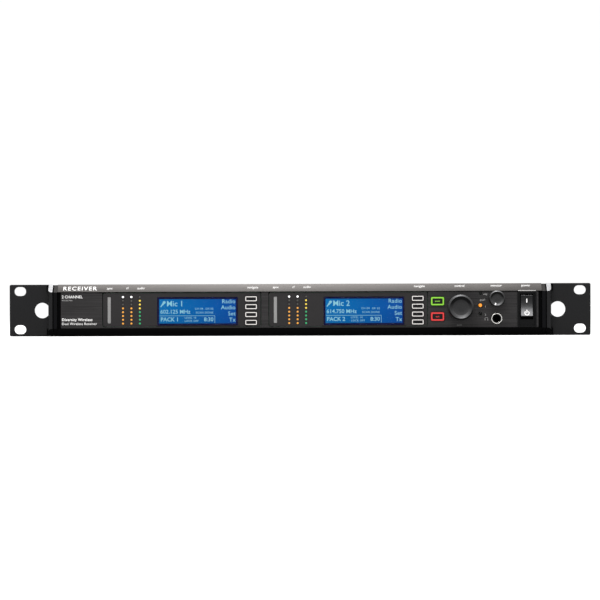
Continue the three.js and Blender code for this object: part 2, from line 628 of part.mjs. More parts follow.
// A male three-pin socket: a square-shouldered flange, a round shell and its pins.
function xlrOutput(x) {
  const seat = REAR_PANEL.rear + FIT;
  const flange = roundedBox(x, CONNECTOR_Z, 26, 31, 2.5, 2);
  const floor = 280;
  const made = solid(alongY(flange, [], seat, seat + 2.2))
    .add(solid(rod(x, CONNECTOR_Z, 11.5, 277, seat + 0.5)))
    .subtract(solid(rod(x, CONNECTOR_Z, 9.2, floor, seat + 3)));
  const pins = [90, 210, 330].map((degrees) => {
    const angle = THREE.MathUtils.degToRad(degrees);
    return rod(x + 4.1 * Math.cos(angle), CONNECTOR_Z + 4.1 * Math.sin(angle), 1.2, floor - 1, 292, 8);
  });
  return geometry(pins.reduce((whole, pin) => whole.add(solid(pin)), made));
}

// A quarter-inch line output: a body, a threaded bushing with its nut, and a blind bore.
function lineOutput(x) {
  const seat = REAR_PANEL.rear + FIT;
  const shoulder = REAR_PANEL.front - FIT;
  return turned([
    [0, 268], [7.2, 268], [7.2, shoulder], [4.7, shoulder], [4.7, seat], [7, seat],
    [7, seat + 2], [4.7, seat + 2], [4.7, seat + 3.4], [3.2, seat + 3.4], [3.2, 271], [0, 271],
  ], x, CONNECTOR_Z, 16);
}

function networkJack() {
  const { x, width, height, portWidth, portHeight } = NETWORK;
  const low = CONNECTOR_Z - height / 2;
  const body = box(x - width / 2, x + width / 2, 272, 296, low, low + height);
  const cuts = [];
  for (const side of [-1, 1]) {
    const cx = x + side * 8;
    const top = CONNECTOR_Z + portHeight / 2;
    cuts.push(box(cx - portWidth / 2, cx + portWidth / 2, 283, 297, CONNECTOR_Z - portHeight / 2, top));
    cuts.push(box(cx - 3, cx + 3, 283, 297, CONNECTOR_Z - portHeight / 2 - 1.6, top));
  }
  return shaped([body], cuts);
}

// A screw-flange mains inlet: shroud with chamfered top corners and three blades.
function mainsInlet() {
  const { x } = MAINS;
  const seat = REAR_PANEL.rear + FIT;
  const flange = roundedBox(x, CONNECTOR_Z, MAINS.flangeWidth, MAINS.flangeHeight, 5, 3);
  const body = roundedBox(x, CONNECTOR_Z, MAINS.bodyWidth, MAINS.bodyHeight, 1, 1);
  const mouth = [[-12.2, -8.2], [12.2, -8.2], [12.2, 3.6], [8, 8.2], [-8, 8.2], [-12.2, 3.6]]
    .map(([px, pz]) => point(x + px, CONNECTOR_Z + pz));
  const blades = [[-7, -2], [0, 2], [7, -2]].map(([px, pz]) => (
    box(x + px - 1, x + px + 1, 280, 292, CONNECTOR_Z + pz - 2, CONNECTOR_Z + pz + 2)
  ));
  const shell = shaped(
    [alongY(flange, [], seat, seat + 2.4), alongY(body, [], 276, seat + 1)],
    [alongY(mouth, [], 281, seat + 4)],
  );
  return shaped([shell, ...blades]);
}

for (const jack of ANTENNA_JACKS) add(jack.name, antennaJack(jack.x), MATERIALS.nickel);
for (const output of AUDIO_OUTPUTS) {
  add(`xlr_output_${output.name}`, xlrOutput(output.xlrX), MATERIALS.blackPlastic);
  add(`line_output_${output.name}`, lineOutput(output.lineX), MATERIALS.nickel);
}
add('network_jack', networkJack(), MATERIALS.zincSteel);
add('mains_inlet', mainsInlet(), MATERIALS.blackPlastic);

// ---------- Boards and modules ----------
// The front board carries a switch under each key.
function frontBoard() {
  const back = FRONT_BOARD.front + FRONT_BOARD.thickness;
  const middleX = (FRONT_BOARD.left + FRONT_BOARD.right) / 2;
  const middleZ = (FRONT_BOARD.low + FRONT_BOARD.high) / 2;
  const width = FRONT_BOARD.right - FRONT_BOARD.left;
  const edge = roundedBox(middleX, middleZ, width, FRONT_BOARD.high - FRONT_BOARD.low, 1, 1);
  const pieces = [alongY(edge, [circle(PHONES.x, PHONES.z, 5.2, 16)], FRONT_BOARD.front, back)];
  const button = (x, z, top) => box(x - 2.2, x + 2.2, top, FRONT_BOARD.front + 0.5, z - 2.2, z + 2.2);
  for (const channel of CHANNELS) {
    for (const z of keyHeights) pieces.push(button(channel.x + KEY.x, z, -6.2));
  }
  for (const key of [ENTER_KEY, EXIT_KEY]) pieces.push(button(key.x, key.z, -4.6));
  return shaped(pieces);
}

function mainBoard() {
  const { left, right, front, rear, low, thickness } = MAIN_BOARD;
  const top = low + thickness;
  const part = (x, y, width, depth, height) => box(x, x + width, y, y + depth, top - 0.3, top + height);
  const pieces = [box(left, right, front, rear, low, top)];
  pieces.push(part(-120, 80, 28, 28, 3), part(-60, 76, 22, 22, 2.5), part(0, 90, 30, 30, 3));
  pieces.push(part(60, 84, 16, 40, 8), part(36, 160, 24, 60, 10), part(84, 150, 22, 22, 3));
  for (let i = 0; i < 5; i += 1) pieces.push(alongZ(circle(-128 + 14 * i, 126, 4, 10), top - 0.3, top + 11));
  return shaped(pieces);
}

// A folded shield can with its lid.
function tunerModule(x) {
  const low = MAIN_BOARD.low + MAIN_BOARD.thickness + FIT;
  return shaped([
    box(x - 31, x + 31, 150, 250, low, low + 15),
    box(x - 31.8, x + 31.8, 149.2, 250.8, low + 11, low + 16),
    box(x - 6, x + 6, 248, 256, low, low + 8),
  ]);
}

// The mains supply: board on its own feet, transformer, heat sink with fins, reservoir capacitors.
function powerSupply() {
  const left = 130;
  const right = 196;
  const top = 7.6;
  const pieces = [box(left, right, 70, 240, 6, top)];
  for (const x of [left + 5, right - 5]) {
    for (const y of [76, 234]) pieces.push(alongZ(circle(x, y, 2.5, 6), SHEET + 0.3, 6.5));
  }
  pieces.push(box(140, 182, 150, 190, top - 0.3, 34), box(148, 174, 146, 194, top - 0.3, 28));
  for (let i = 0; i < 5; i += 1) pieces.push(box(134 + 5 * i, 136 + 5 * i, 90, 132, top - 0.3, 33));
  pieces.push(box(134, 156, 90, 132, top - 0.3, 12));
  for (const y of [96, 120, 214]) pieces.push(alongZ(circle(178, y, 9, 14), top - 0.3, 32));
  return shaped(pieces);
}

add('main_board', mainBoard(), MATERIALS.board);
add('front_board', frontBoard(), MATERIALS.board);
add('power_supply', powerSupply(), MATERIALS.board);
add('tuner_module_1', tunerModule(-102), MATERIALS.zincSteel);
add('tuner_module_2', tunerModule(-22), MATERIALS.zincSteel);

unit.position.y = -MIDDLE_Y;

export default unit;
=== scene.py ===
"""Looks of a one-unit rack-mount dual wireless receiver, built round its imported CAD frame. Metres, +Z up, front -Y."""

import json
from math import asin, cos, hypot, pi, radians, sin, tan

import bmesh
import bpy
from mathutils import Matrix, Vector


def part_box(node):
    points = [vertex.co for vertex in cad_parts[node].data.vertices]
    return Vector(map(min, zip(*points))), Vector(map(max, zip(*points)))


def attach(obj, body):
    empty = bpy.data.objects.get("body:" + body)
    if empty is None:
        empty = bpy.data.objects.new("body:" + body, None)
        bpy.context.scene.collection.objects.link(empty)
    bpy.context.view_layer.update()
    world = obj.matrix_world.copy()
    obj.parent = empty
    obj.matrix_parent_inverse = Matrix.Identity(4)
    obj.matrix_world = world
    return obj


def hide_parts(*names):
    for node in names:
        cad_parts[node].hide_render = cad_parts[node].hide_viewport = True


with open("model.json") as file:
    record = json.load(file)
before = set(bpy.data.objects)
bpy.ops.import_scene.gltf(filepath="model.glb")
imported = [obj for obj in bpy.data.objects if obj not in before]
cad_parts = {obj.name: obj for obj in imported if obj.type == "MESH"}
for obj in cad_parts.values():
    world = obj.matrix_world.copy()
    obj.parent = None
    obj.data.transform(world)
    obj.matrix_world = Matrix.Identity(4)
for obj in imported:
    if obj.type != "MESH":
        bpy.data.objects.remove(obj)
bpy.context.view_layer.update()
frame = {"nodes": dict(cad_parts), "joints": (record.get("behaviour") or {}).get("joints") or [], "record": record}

MM = 0.001
TALLEST = 0.043  # the top of the range in which a material's painted-shade height stops lie, in metres
BODY = {node: body for body, nodes in frame["record"]["behaviour"]["bodies"].items() for node in nodes}
JOINTS = {joint["name"]: joint for joint in frame["joints"]}


# ---------- Node materials ----------
def node(tree, kind, **settings):
    made = tree.nodes.new(kind)
    for key, value in settings.items():
        if key in made.inputs:
            made.inputs[key].default_value = value
        else:
            setattr(made, key, value)
    return made


def ramp(tree, factor, stops):
    made = tree.nodes.new("ShaderNodeValToRGB")
    elements = made.color_ramp.elements
    while len(elements) < len(stops):
        elements.new(0.5)
    for element, (place, value) in zip(elements, stops):
        element.position = place
        element.color = (value, value, value, 1) if isinstance(value, float) else (*value, 1)
    tree.links.new(factor, made.inputs["Fac"])
    return made.outputs["Color"]


def mixed(tree, factor, a, b, blend="MIX"):
    made = tree.nodes.new("ShaderNodeMix")
    made.data_type = "RGBA"
    made.blend_type = blend
    for socket, value in ((made.inputs[0], factor), (made.inputs[6], a), (made.inputs[7], b)):
        if isinstance(value, bpy.types.NodeSocket):
            tree.links.new(value, socket)
        elif isinstance(value, (int, float)):
            socket.default_value = value
        else:
            socket.default_value = (*value, 1)
    return made.outputs[2]


def surface(name, color, rough, metal=0.0, spec=0.5, grain=900.0, stretch=(1, 1, 1), bump=0.05, depth=0.01,
            tone=0.15, rough_change=0.08, wear=0.0, wear_color=(0.25, 0.25, 0.25), coat=0.0,
            glow=None, glow_strength=0.0, alpha=1.0, smudge=0.1, facing=(), height=()):
    """A grained surface: fine noise drives tone, roughness and bump, broad noise smudges it, and edges can wear.
    facing lists (upward part of the normal, tone) stops that paint light and shade by which way a face points, and
    height lists (millimetres above the floor, tone) stops that paint shade by height."""
    material = bpy.data.materials.new(name)
    material.use_nodes = True
    tree = material.node_tree
    link = tree.links.new
    shader = tree.nodes["Principled BSDF"]
    for socket, value in (("Metallic", metal), ("Specular IOR Level", spec), ("Coat Weight", coat),
                          ("Coat Roughness", 0.08), ("Alpha", alpha)):
        shader.inputs[socket].default_value = value
    place = node(tree, "ShaderNodeTexCoord").outputs["Object"]
    mapping = node(tree, "ShaderNodeMapping", Scale=stretch)
    link(place, mapping.inputs["Vector"])
    fine = node(tree, "ShaderNodeTexNoise", Scale=grain, Detail=6.0, Roughness=0.6)
    link(mapping.outputs["Vector"], fine.inputs["Vector"])
    broad = node(tree, "ShaderNodeTexNoise", Scale=28.0, Detail=4.0, Roughness=0.55)
    link(place, broad.inputs["Vector"])
    light = tuple(min(1.0, c * (1 + tone)) for c in color)
    dark = tuple(c * (1 - tone) for c in color)
    colour = ramp(tree, fine.outputs["Fac"], [(0.3, dark), (0.7, light)])
    cloud = ramp(tree, broad.outputs["Fac"], [(0.35, 1.0 - smudge), (0.65, 1.0)])
    colour = mixed(tree, 1.0, colour, cloud, "MULTIPLY")
    # Painted light and shade: facing lightens or darkens each face by which way it points, height by how high it
    # stands.
    for stops, low, high, unit in ((facing, -1.0, 1.0, 1.0), (height, 0.0, TALLEST, MM)):
        if stops:
            start = place if stops is height else node(tree, "ShaderNodeNewGeometry").outputs["Normal"]
            split = node(tree, "ShaderNodeSeparateXYZ")
            link(start, split.inputs["Vector"])
            share = node(tree, "ShaderNodeMapRange", **{"From Min": low, "From Max": high})
            link(split.outputs["Z"], share.inputs["Value"])
            placed_stops = [((at * unit - low) / (high - low), tone_at) for at, tone_at in stops]
            painted_light_tones = ramp(tree, share.outputs["Result"], placed_stops)
            colour = mixed(tree, 1.0, colour, painted_light_tones, "MULTIPLY")
    roughness = node(tree, "ShaderNodeMapRange", **{"To Min": max(0.02, rough - rough_change),
                                                    "To Max": min(1.0, rough + rough_change)})
    link(mixed(tree, 0.4, fine.outputs["Fac"], broad.outputs["Fac"]), roughness.inputs["Value"])
    link(roughness.outputs["Result"], shader.inputs["Roughness"])
    if wear > 0:
        rounded = node(tree, "ShaderNodeBevel", samples=4, Radius=0.0005)
        geometry = node(tree, "ShaderNodeNewGeometry")
        dot = node(tree, "ShaderNodeVectorMath", operation="DOT_PRODUCT")
        link(rounded.outputs["Normal"], dot.inputs[0])
        link(geometry.outputs["Normal"], dot.inputs[1])
        edge = ramp(tree, dot.outputs["Value"], [(0.75, 1.0), (0.97, 0.0)])
        broken = ramp(tree, fine.outputs["Fac"], [(0.4, 0.0), (0.7, wear)])
        amount = mixed(tree, 1.0, edge, broken, "MULTIPLY")
        colour = mixed(tree, amount, colour, wear_color)
    link(colour, shader.inputs["Base Color"])
    if bump > 0:
        bumped = node(tree, "ShaderNodeBump", Strength=bump, Distance=depth * MM)
        link(fine.outputs["Fac"], bumped.inputs["Height"])
        link(bumped.outputs["Normal"], shader.inputs["Normal"])
    if glow is not None:
        glowing = ramp(tree, broad.outputs["Fac"], [(0.3, tuple(c * 0.88 for c in glow)), (0.7, glow)])
        link(glowing, shader.inputs["Emission Color"])
        shader.inputs["Emission Strength"].default_value = glow_strength
    return material


# Finishes that several materials share.
DRAWN = {"stretch": (1, 1, 0.05), "bump": 0.06}
PRINTED = {"grain": 1500, "depth": 0.004}
KEY_BORDER = {"spec": 0.2, "grain": 800, "tone": 0.06}
LIT = {"grain": 1500, "bump": 0.0}

STEEL_PAINT = surface(
    "black_powder_coat", (0.0042, 0.0042, 0.0046), 0.5, spec=0.125, grain=1300, bump=0.5, depth=0.07,
    tone=0.3, wear=0.25, wear_color=(0.07, 0.07, 0.07))
# The lit copy of the extrusion's dark anodised finish, for its top and upper slope, darker towards the foot of the
# slope: painted shade by height.
EXTRUSION = surface(
    "anodised_slope_painted_shade", (0.112, 0.105, 0.101), 0.4, metal=0.9, grain=700, stretch=(0.03, 1, 1),
    bump=0.12, tone=0.12, height=((36.9, 0.5), (39.5, 0.72), (42.6, 1.0)))
# The shaded copy of the extrusion's finish: its own dark anodising made near-black and almost without reflection,
# painted shade that keeps the lower slope, lips and recess dark under the pale floor; the end caps' black lugs take it
# too.
DARK_WITH_PAINTED_SHADE = surface(
    "dark_edges_painted_shade", (0.0009, 0.0009, 0.001), 0.6, spec=0.015, grain=700, stretch=(0.03, 1, 1),
    bump=0.1)
FASCIA = surface(
    "brushed_dark_fascia", (0.0185, 0.0175, 0.0178), 0.5, spec=0.09, grain=1300, stretch=(0.02, 1, 1),
    bump=0.25, depth=0.012, tone=0.4, rough_change=0.12, smudge=0.12)
INSERT = surface(
    "textured_insert", (0.0155, 0.0145, 0.0148), 0.5, spec=0.1, grain=1700, bump=0.2, depth=0.015,
    wear=0.2, wear_color=(0.12, 0.12, 0.12))
# The end cap's upward faces take a bright satin metal and its front faces a dark one: lit and shaded copies of one
# finish, the top a painted highlight as if lit from above.
CAP_TOP_PAINTED_LIGHT = surface("end_cap_top_painted_light", (0.5, 0.5, 0.51), 0.28, metal=1.0, tone=0.12, **DRAWN)
CAP_FACE = surface("dark_end_cap_face", (0.007, 0.007, 0.0075), 0.34, metal=0.3, spec=0.14, **DRAWN)
# The cap's inner strip is made darker than the bead beside it: painted shade, as if it stood back in shadow, with its
# slope a little lighter than its front.
CAP_STRIP_PAINTED_SHADE = surface("end_cap_strip_painted_shade", (0.0025, 0.0025, 0.003), 0.4, metal=0.3, spec=0.05, **DRAWN)
CAP_STRIP_SLOPE_PAINTED_SHADE = surface("end_cap_strip_slope_painted_shade", (0.034, 0.032, 0.031), 0.4, metal=0.9, **DRAWN)
BLACK_PLASTIC = surface(
    "black_plastic", (0.010, 0.010, 0.011), 0.42, spec=0.25, grain=1400, bump=0.12, depth=0.015,
    tone=0.2)
SWITCH_PLASTIC = surface("glossy_black_plastic", (0.0025, 0.0025, 0.0028), 0.3, spec=0.08, tone=0.2)
DEEP_BLACK = surface("deep_black", (0.003, 0.003, 0.0035), 0.5, spec=0.12, tone=0.3)
# A black knob whose tone is painted by which way each face points: a painted highlight on faces looking up, such as the
# upper rim and the lower hollow, and painted shade on faces looking down; it is fully metallic so that the painted
# colour also sets its reflection.
KNOB_PAINTED_LIGHT = surface(
    "black_knob_painted_light", (0.3, 0.3, 0.305), 0.45, metal=1.0, grain=1500, bump=0.15, depth=0.015, tone=0.2,
    facing=((-1.0, 0.016), (-0.2, 0.02), (0.0, 0.09), (0.2, 0.19), (0.45, 0.23), (0.7, 1.0), (1.0, 1.0)))
# The rocker's tone is painted by which way its faces point: dark on its upper half and lighter down its lower half,
# which looks up, a painted highlight as if lit from above; fully metallic, so the painted colour also sets its
# reflection.
ROCKER_PAINTED_LIGHT = surface(
    "rocker_painted_light", (0.098, 0.098, 0.1), 0.28, metal=1.0,
    facing=((-1.0, 0.04), (-0.2, 0.06), (0.0, 0.22), (0.15, 0.5), (0.45, 1.0)))
# A bright metal for the switch frame's top edge and its lip: a painted highlight.
SWITCH_EDGE_HIGHLIGHT = surface("switch_edge_painted_highlight", (0.42, 0.41, 0.4), 0.3, metal=1.0, tone=0.1)
PALE_RING = surface(
    "pale_key_border", (0.62, 0.59, 0.57), 0.4, spec=0.3, grain=800, tone=0.08,
    glow=(0.9, 0.86, 0.82), glow_strength=0.03)
GREEN_RING = surface(
    "green_key_border", (0.16, 0.38, 0.03), 0.38, glow=(0.30, 0.72, 0.05), glow_strength=0.2,
    **KEY_BORDER)
RED_RING = surface(
    "red_key_border", (0.42, 0.03, 0.03), 0.38, glow=(0.85, 0.045, 0.045), glow_strength=0.22,
    **KEY_BORDER)
# Darker copies of the green and red borders for their set-back outer rims: painted shade along the edge.
GREEN_RIM_SHADE = surface("green_key_rim_painted_shade", (0.03, 0.12, 0.008), 0.38, **KEY_BORDER)
RED_RIM_SHADE = surface("red_key_rim_painted_shade", (0.22, 0.006, 0.008), 0.38, **KEY_BORDER)
GREY_LEGEND = surface("grey_print", (0.3, 0.295, 0.29), 0.6, spec=0.1, tone=0.08, **PRINTED)
DIM_LEGEND = surface("dim_print", (0.1, 0.1, 0.1), 0.6, spec=0.1, tone=0.08, **PRINTED)
LEGEND = surface("white_print", (0.72, 0.71, 0.70), 0.6, spec=0.2, tone=0.06, **PRINTED)
SYNC = surface("grey_sync_window", (0.165, 0.162, 0.16), 0.3, spec=0.3, grain=1200, bump=0.12, tone=0.1)
NICKEL = surface("nickel_plate", (0.66, 0.65, 0.62), 0.2, metal=1.0, grain=1200, bump=0.06, tone=0.06)
BRASS = surface("gold_contact", (0.80, 0.58, 0.24), 0.22, metal=1.0, grain=1200, tone=0.08)
ZINC = surface(
    "zinc_plated_steel", (0.52, 0.53, 0.55), 0.34, metal=1.0, grain=500, stretch=(0.1, 1, 1), bump=0.1,
    tone=0.1, rough_change=0.12)
BLACK_SCREW = surface(
    "black_oxide_screw", (0.030, 0.030, 0.032), 0.32, metal=0.8, grain=1200, bump=0.1, tone=0.2,
    wear=0.3)
DIELECTRIC = surface("white_dielectric", (0.78, 0.77, 0.73), 0.45, spec=0.35, grain=1200, tone=0.05)
BOARD = surface("green_solder_mask", (0.012, 0.11, 0.045), 0.32, grain=350, bump=0.3, depth=0.05, tone=0.35, coat=0.3)
SCREEN_EDGE = surface(
    "navy_window_border", (0.002, 0.002, 0.02), 0.2, spec=0.1, bump=0.02, depth=0.005, tone=0.1,
    glow=(0.001, 0.0008, 0.012), glow_strength=1.0)
GLASS = surface(
    "window_glass", (0.002, 0.003, 0.006), 0.05, spec=0.05, bump=0.0, tone=0.1, rough_change=0.02,
    alpha=0.06)
PIXEL = surface(
    "lit_pixels", (0.02, 0.05, 0.06), 0.5, spec=0.05, tone=0.05, glow=(0.33, 0.72, 0.86),
    glow_strength=0.85, **LIT)
LAMPS = {
    "off": surface("lamp_off", (0.075, 0.07, 0.065), 0.25, spec=0.4, grain=1500),
    "dark": surface("lamp_dark", (0.001, 0.001, 0.001), 0.12, spec=0.1, grain=1500),
}
for colour, base, glow, strength in (
        ("white", (0.8, 0.8, 0.8), (1.0, 1.0, 1.0), 1.1),
        ("amber", (0.3, 0.12, 0.01), (0.85, 0.37, 0.04), 0.7),
        ("yellow", (0.3, 0.22, 0.02), (0.9, 0.66, 0.06), 0.72),
        ("green", (0.01, 0.14, 0.05), (0.01, 0.42, 0.14), 0.55),
        ("orange", (0.3, 0.08, 0.005), (1.0, 0.34, 0.012), 0.95)):
    LAMPS[colour] = surface("lamp_" + colour, base, 0.3, glow=glow, glow_strength=strength, **LIT)
LAMP_NAMES = sorted(LAMPS)
LAMP_MATERIALS = [LAMPS[name] for name in LAMP_NAMES]


def backlit_blue():
    """The display's backlight: brighter towards the upper left, with faint cloudiness."""
    material = surface("blue_backlight", (0.0, 0.008, 0.03), 0.4, spec=0.03, bump=0.0, tone=0.05)
    tree = material.node_tree
    shader = tree.nodes["Principled BSDF"]
    place = node(tree, "ShaderNodeTexCoord").outputs["Generated"]
    split = node(tree, "ShaderNodeSeparateXYZ")
    tree.links.new(place, split.inputs["Vector"])
    across = ramp(tree, split.outputs["X"],
                  [(0.0, (0.004, 0.16, 0.44)), (0.4, (0.003, 0.125, 0.40)), (1.0, (0.004, 0.062, 0.33))])
    rise = ramp(tree, split.outputs["Z"], [(0.0, 0.82), (0.7, 1.0), (1.0, 0.94)])
    tree.links.new(mixed(tree, 1.0, across, rise, "MULTIPLY"), shader.inputs["Emission Color"])
    shader.inputs["Emission Strength"].default_value = 1.0
    return material


BACKLIGHT = backlit_blue()


# ---------- Mesh tools ----------
def finished(name, bm, materials, body, replaces=(), slot=None, bevel=0.0, segments=2, angle=35, weld=True):
    """Turns a bmesh into a piece: welded, facing out, smooth where its faces nearly agree, and riding on a body."""
    if weld:
        bmesh.ops.remove_doubles(bm, verts=bm.verts, dist=1e-6)
    bmesh.ops.recalc_face_normals(bm, faces=bm.faces)
    mesh = bpy.data.meshes.new(name)
    bm.to_mesh(mesh)
    bm.free()
    for material in materials:
        mesh.materials.append(material)
    for polygon in mesh.polygons:
        polygon.use_smooth = True
    mesh.set_sharp_from_angle(angle=radians(angle))
    piece = bpy.data.objects.new(name, mesh)
    bpy.context.scene.collection.objects.link(piece)
    if bevel > 0:
        modifier = piece.modifiers.new("edges", "BEVEL")
        modifier.width = bevel * MM
        modifier.segments = segments
        modifier.limit_method = "ANGLE"
        modifier.angle_limit = radians(angle)
        modifier.harden_normals = True
    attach(piece, body)
    if replaces:
        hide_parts(*replaces)
    return piece


def refined(cad_node, material, slot, bevel=0.2, others=()):
    """A welded copy of a CAD solid with its edges rounded, standing for that solid.
    others lists (chooser, material) pairs, and a face takes the first one whose chooser accepts it."""
    bm = bmesh.new()
    bm.from_mesh(frame["nodes"][cad_node].data)
    bmesh.ops.remove_doubles(bm, verts=bm.verts, dist=2e-6)
    bmesh.ops.recalc_face_normals(bm, faces=bm.faces)
    bmesh.ops.dissolve_limit(bm, angle_limit=radians(1.0), verts=bm.verts, edges=bm.edges)
    for face in bm.faces:
        accepted = [index for index, (chooser, _) in enumerate(others, 1) if chooser(face)]
        face.material_index = accepted[0] if accepted else 0
    materials = [material] + [second for _, second in others]
    return finished(cad_node + "_finished", bm, materials, BODY[cad_node], [cad_node], slot, bevel, weld=False)


def fixed(name, bm, material, slot, replaces=(), **rest):
    """A piece of one material that belongs to the chassis."""
    return finished(name, bm, [material], "chassis", replaces, slot, **rest)


def angles(count):
    return [2 * pi * i / count for i in range(count)]


def rounded(cx, cz, width, height, radius, steps=6):
    """An outline in X and Z, in millimetres, counter-clockwise as seen from the front."""
    points = []
    for sx, sz, start in ((1, 1, 0), (-1, 1, 90), (-1, -1, 180), (1, -1, 270)):
        for i in range(steps + 1):
            turn = radians(start + 90 * i / steps)
            points.append((cx + sx * (width / 2 - radius) + radius * cos(turn),
                           cz + sz * (height / 2 - radius) + radius * sin(turn)))
    return points


def polar(cx, cz, radius_of, count=96):
    return [(cx + radius_of(t) * cos(t), cz + radius_of(t) * sin(t)) for t in angles(count)]


def vert(bm, x, y, z):
    return bm.verts.new((x * MM, y * MM, z * MM))


def ring_of(bm, points, y):
    return [vert(bm, x, y, z) for x, z in points]


def join_rings(bm, a, b, index=0):
    for i in range(len(a)):
        j = (i + 1) % len(a)
        bm.faces.new((a[i], b[i], b[j], a[j])).material_index = index


def capped(bm, ring):
    bm.faces.new(ring)


def stacked(bm, rings):
    """A closed solid through a row of rings."""
    for a, b in zip(rings, rings[1:]):
        join_rings(bm, a, b)
    capped(bm, rings[0])
    capped(bm, rings[-1])


def prism(bm, points, y0, y1):
    """A closed prism from an outline in X and Z, from y0 to y1."""
    front, back = ring_of(bm, points, y0), ring_of(bm, points, y1)
    join_rings(bm, front, back)
    capped(bm, front)
    capped(bm, list(reversed(back)))


def slab(bm, x0, x1, z0, z1, y0, y1):
    prism(bm, [(x0, z0), (x1, z0), (x1, z1), (x0, z1)], y0, y1)


def tube(bm, outer, inner, y0, y1, index=0):
    """A closed frame between two outlines with the same number of points."""
    of, ob = ring_of(bm, outer, y0), ring_of(bm, outer, y1)
    nf, nb = ring_of(bm, inner, y0), ring_of(bm, inner, y1)
    join_rings(bm, of, ob, index)
    join_rings(bm, nb, nf, index)
    join_rings(bm, nf, of, index)
    join_rings(bm, ob, nb, index)


def lathe(bm, profile, cx, cz, sides=96, index=0, radius_at=None):
    """A turned solid about an axis along Y, from (radius, y) pairs that end on the axis or close on themselves."""
    rings = []
    for radius, y in profile:
        if radius == 0:
            rings.append([vert(bm, cx, y, cz)])
            continue
        ring = []
        for turn in angles(sides):
            r = radius_at(radius, y, turn) if radius_at else radius
            ring.append(vert(bm, cx + r * cos(turn), y, cz + r * sin(turn)))
        rings.append(ring)
    pairs = list(zip(rings, rings[1:]))
    if profile[0][0] != 0:
        pairs.append((rings[-1], rings[0]))
    for a, b in pairs:
        if len(a) == len(b) == sides:
            join_rings(bm, a, b, index)
        elif len(a) != len(b):
            for i in range(sides):
                j = (i + 1) % sides
                corners = (a[0], b[i], b[j]) if len(a) == 1 else (a[i], b[0], a[j])
                bm.faces.new(corners).material_index = index


def turned(name, profile, cx, cz, material, slot, body="chassis", sides=96, radius_at=None, **rest):
    bm = bmesh.new()
    lathe(bm, profile, cx, cz, sides, radius_at=radius_at)
    return finished(name, bm, [material], body, slot=slot, **rest)


def mm_box(cad_node):
    low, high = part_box(cad_node)
    return low / MM, high / MM


def middle(cad_node):
    low, high = mm_box(cad_node)
    return (low + high) / 2


def placed(cad_node):
    """A node's middle across and up, then the two corners of its box, all in millimetres."""
    low, high = mm_box(cad_node)
    return (low.x + high.x) / 2, (low.z + high.z) / 2, low, high


# ---------- Lettering ----------
def text_mesh(words, size, thick=0.02, align="CENTER", weight=0.0, spacing=1.0):
    """Built-in plain letters as a mesh: x along the line, y up the letters, in metres."""
    curve = bpy.data.curves.new("letters", "FONT")
    curve.body = words
    curve.size = size * MM
    curve.extrude = thick * MM
    curve.offset = weight * MM
    curve.align_x = align
    curve.align_y = "CENTER"
    curve.space_character = spacing
    curve.resolution_u = 3
    holder = bpy.data.objects.new("letters", curve)
    bpy.context.scene.collection.objects.link(holder)
    bpy.context.view_layer.update()
    graph = bpy.context.evaluated_depsgraph_get()
    mesh = bpy.data.meshes.new_from_object(holder.evaluated_get(graph))
    bpy.data.objects.remove(holder)
    return mesh


FRONT_FACING = Matrix.Rotation(radians(90), 4, "X")
REAR_FACING = Matrix.Rotation(radians(180), 4, "Z") @ FRONT_FACING
LIFT = 0.025  # how far printed letters stand out of the surface under them, in millimetres


def lettering(name, items, material, body, slot, facing=FRONT_FACING):
    """One piece from many short words, each (words, x, y, z, size, options) in millimetres; tilt leans it back."""
    bm = bmesh.new()
    for words, x, y, z, size, options in items:
        options = dict(options)
        tilt = options.pop("tilt", 0)
        stretch = options.pop("stretch", 1.0)
        mesh = text_mesh(words, size, **options)
        mesh.transform(Matrix.Diagonal((1.0, stretch, 1.0, 1.0)))
        lean = Matrix.Rotation(radians(tilt), 4, "X")
        mesh.transform(Matrix.Translation(Vector((x, y, z)) * MM) @ lean @ facing)
        bm.from_mesh(mesh)
        bpy.data.meshes.remove(mesh)
    return finished(name, bm, [material], body, slot=slot, angle=30)


# ---------- Case ----------
front_low, front_high = mm_box("front_extrusion")
fascia_low, fascia_high = mm_box("fascia_panel")
FACE = fascia_low.y
MID_Z = (front_low.z + front_high.z) / 2


def painted_shade_faces(face):
    """Every face of the extrusion but its top and the slope under it: these take its near-black copy, painted shade."""
    return face.normal.z < 0.5 or face.calc_center_median().z < (fascia_high.z + 0.3) * MM


def cap_lugs_and_shaded_faces(face):
    """The end cap's black lugs, and its lower slope and groove, where the near-black is painted shade."""
    centre = face.calc_center_median() / MM
    reach = abs(centre.x)
    lug = reach > CAP_OUTER + 0.05
    groove = abs(reach - CAP_GROOVE) < 0.35
    return lug or groove or face.normal.z < -0.3


# The walls round an opening, which take near-black: painted shade in the gap between parts.
def gap_wall_shade(face):
    return face.normal.y > -0.9


# The cap's inner strip, which takes painted shade.
def cap_shaded_strip(face):
    return abs(face.calc_center_median().x) / MM < CAP_GROOVE


def cap_shaded_strip_slope(face):
    return cap_shaded_strip(face) and face.normal.z > 0.3


# The cap's front faces, which take the dark, shaded copy of its finish.
def cap_front(face):
    return face.normal.z < 0.3


# The cap's outer bead ends 1.9 mm inside its lugs, and its groove's middle is 4.1 mm further in.
CAP_OUTER = mm_box("end_cap_right")[1].x - 1.9
CAP_GROOVE = CAP_OUTER - 4.1

for cad_node in ("chassis_tray", "top_cover", "rear_panel", "rack_ear_left", "rack_ear_right"):
    refined(cad_node, STEEL_PAINT, "black_steel", bevel=0.18)
# Faces other than the top and upper slope take the painted-shade copy of the finish.
refined("front_extrusion", EXTRUSION, "anodised_aluminium", bevel=0.1, others=[(painted_shade_faces, DARK_WITH_PAINTED_SHADE)])
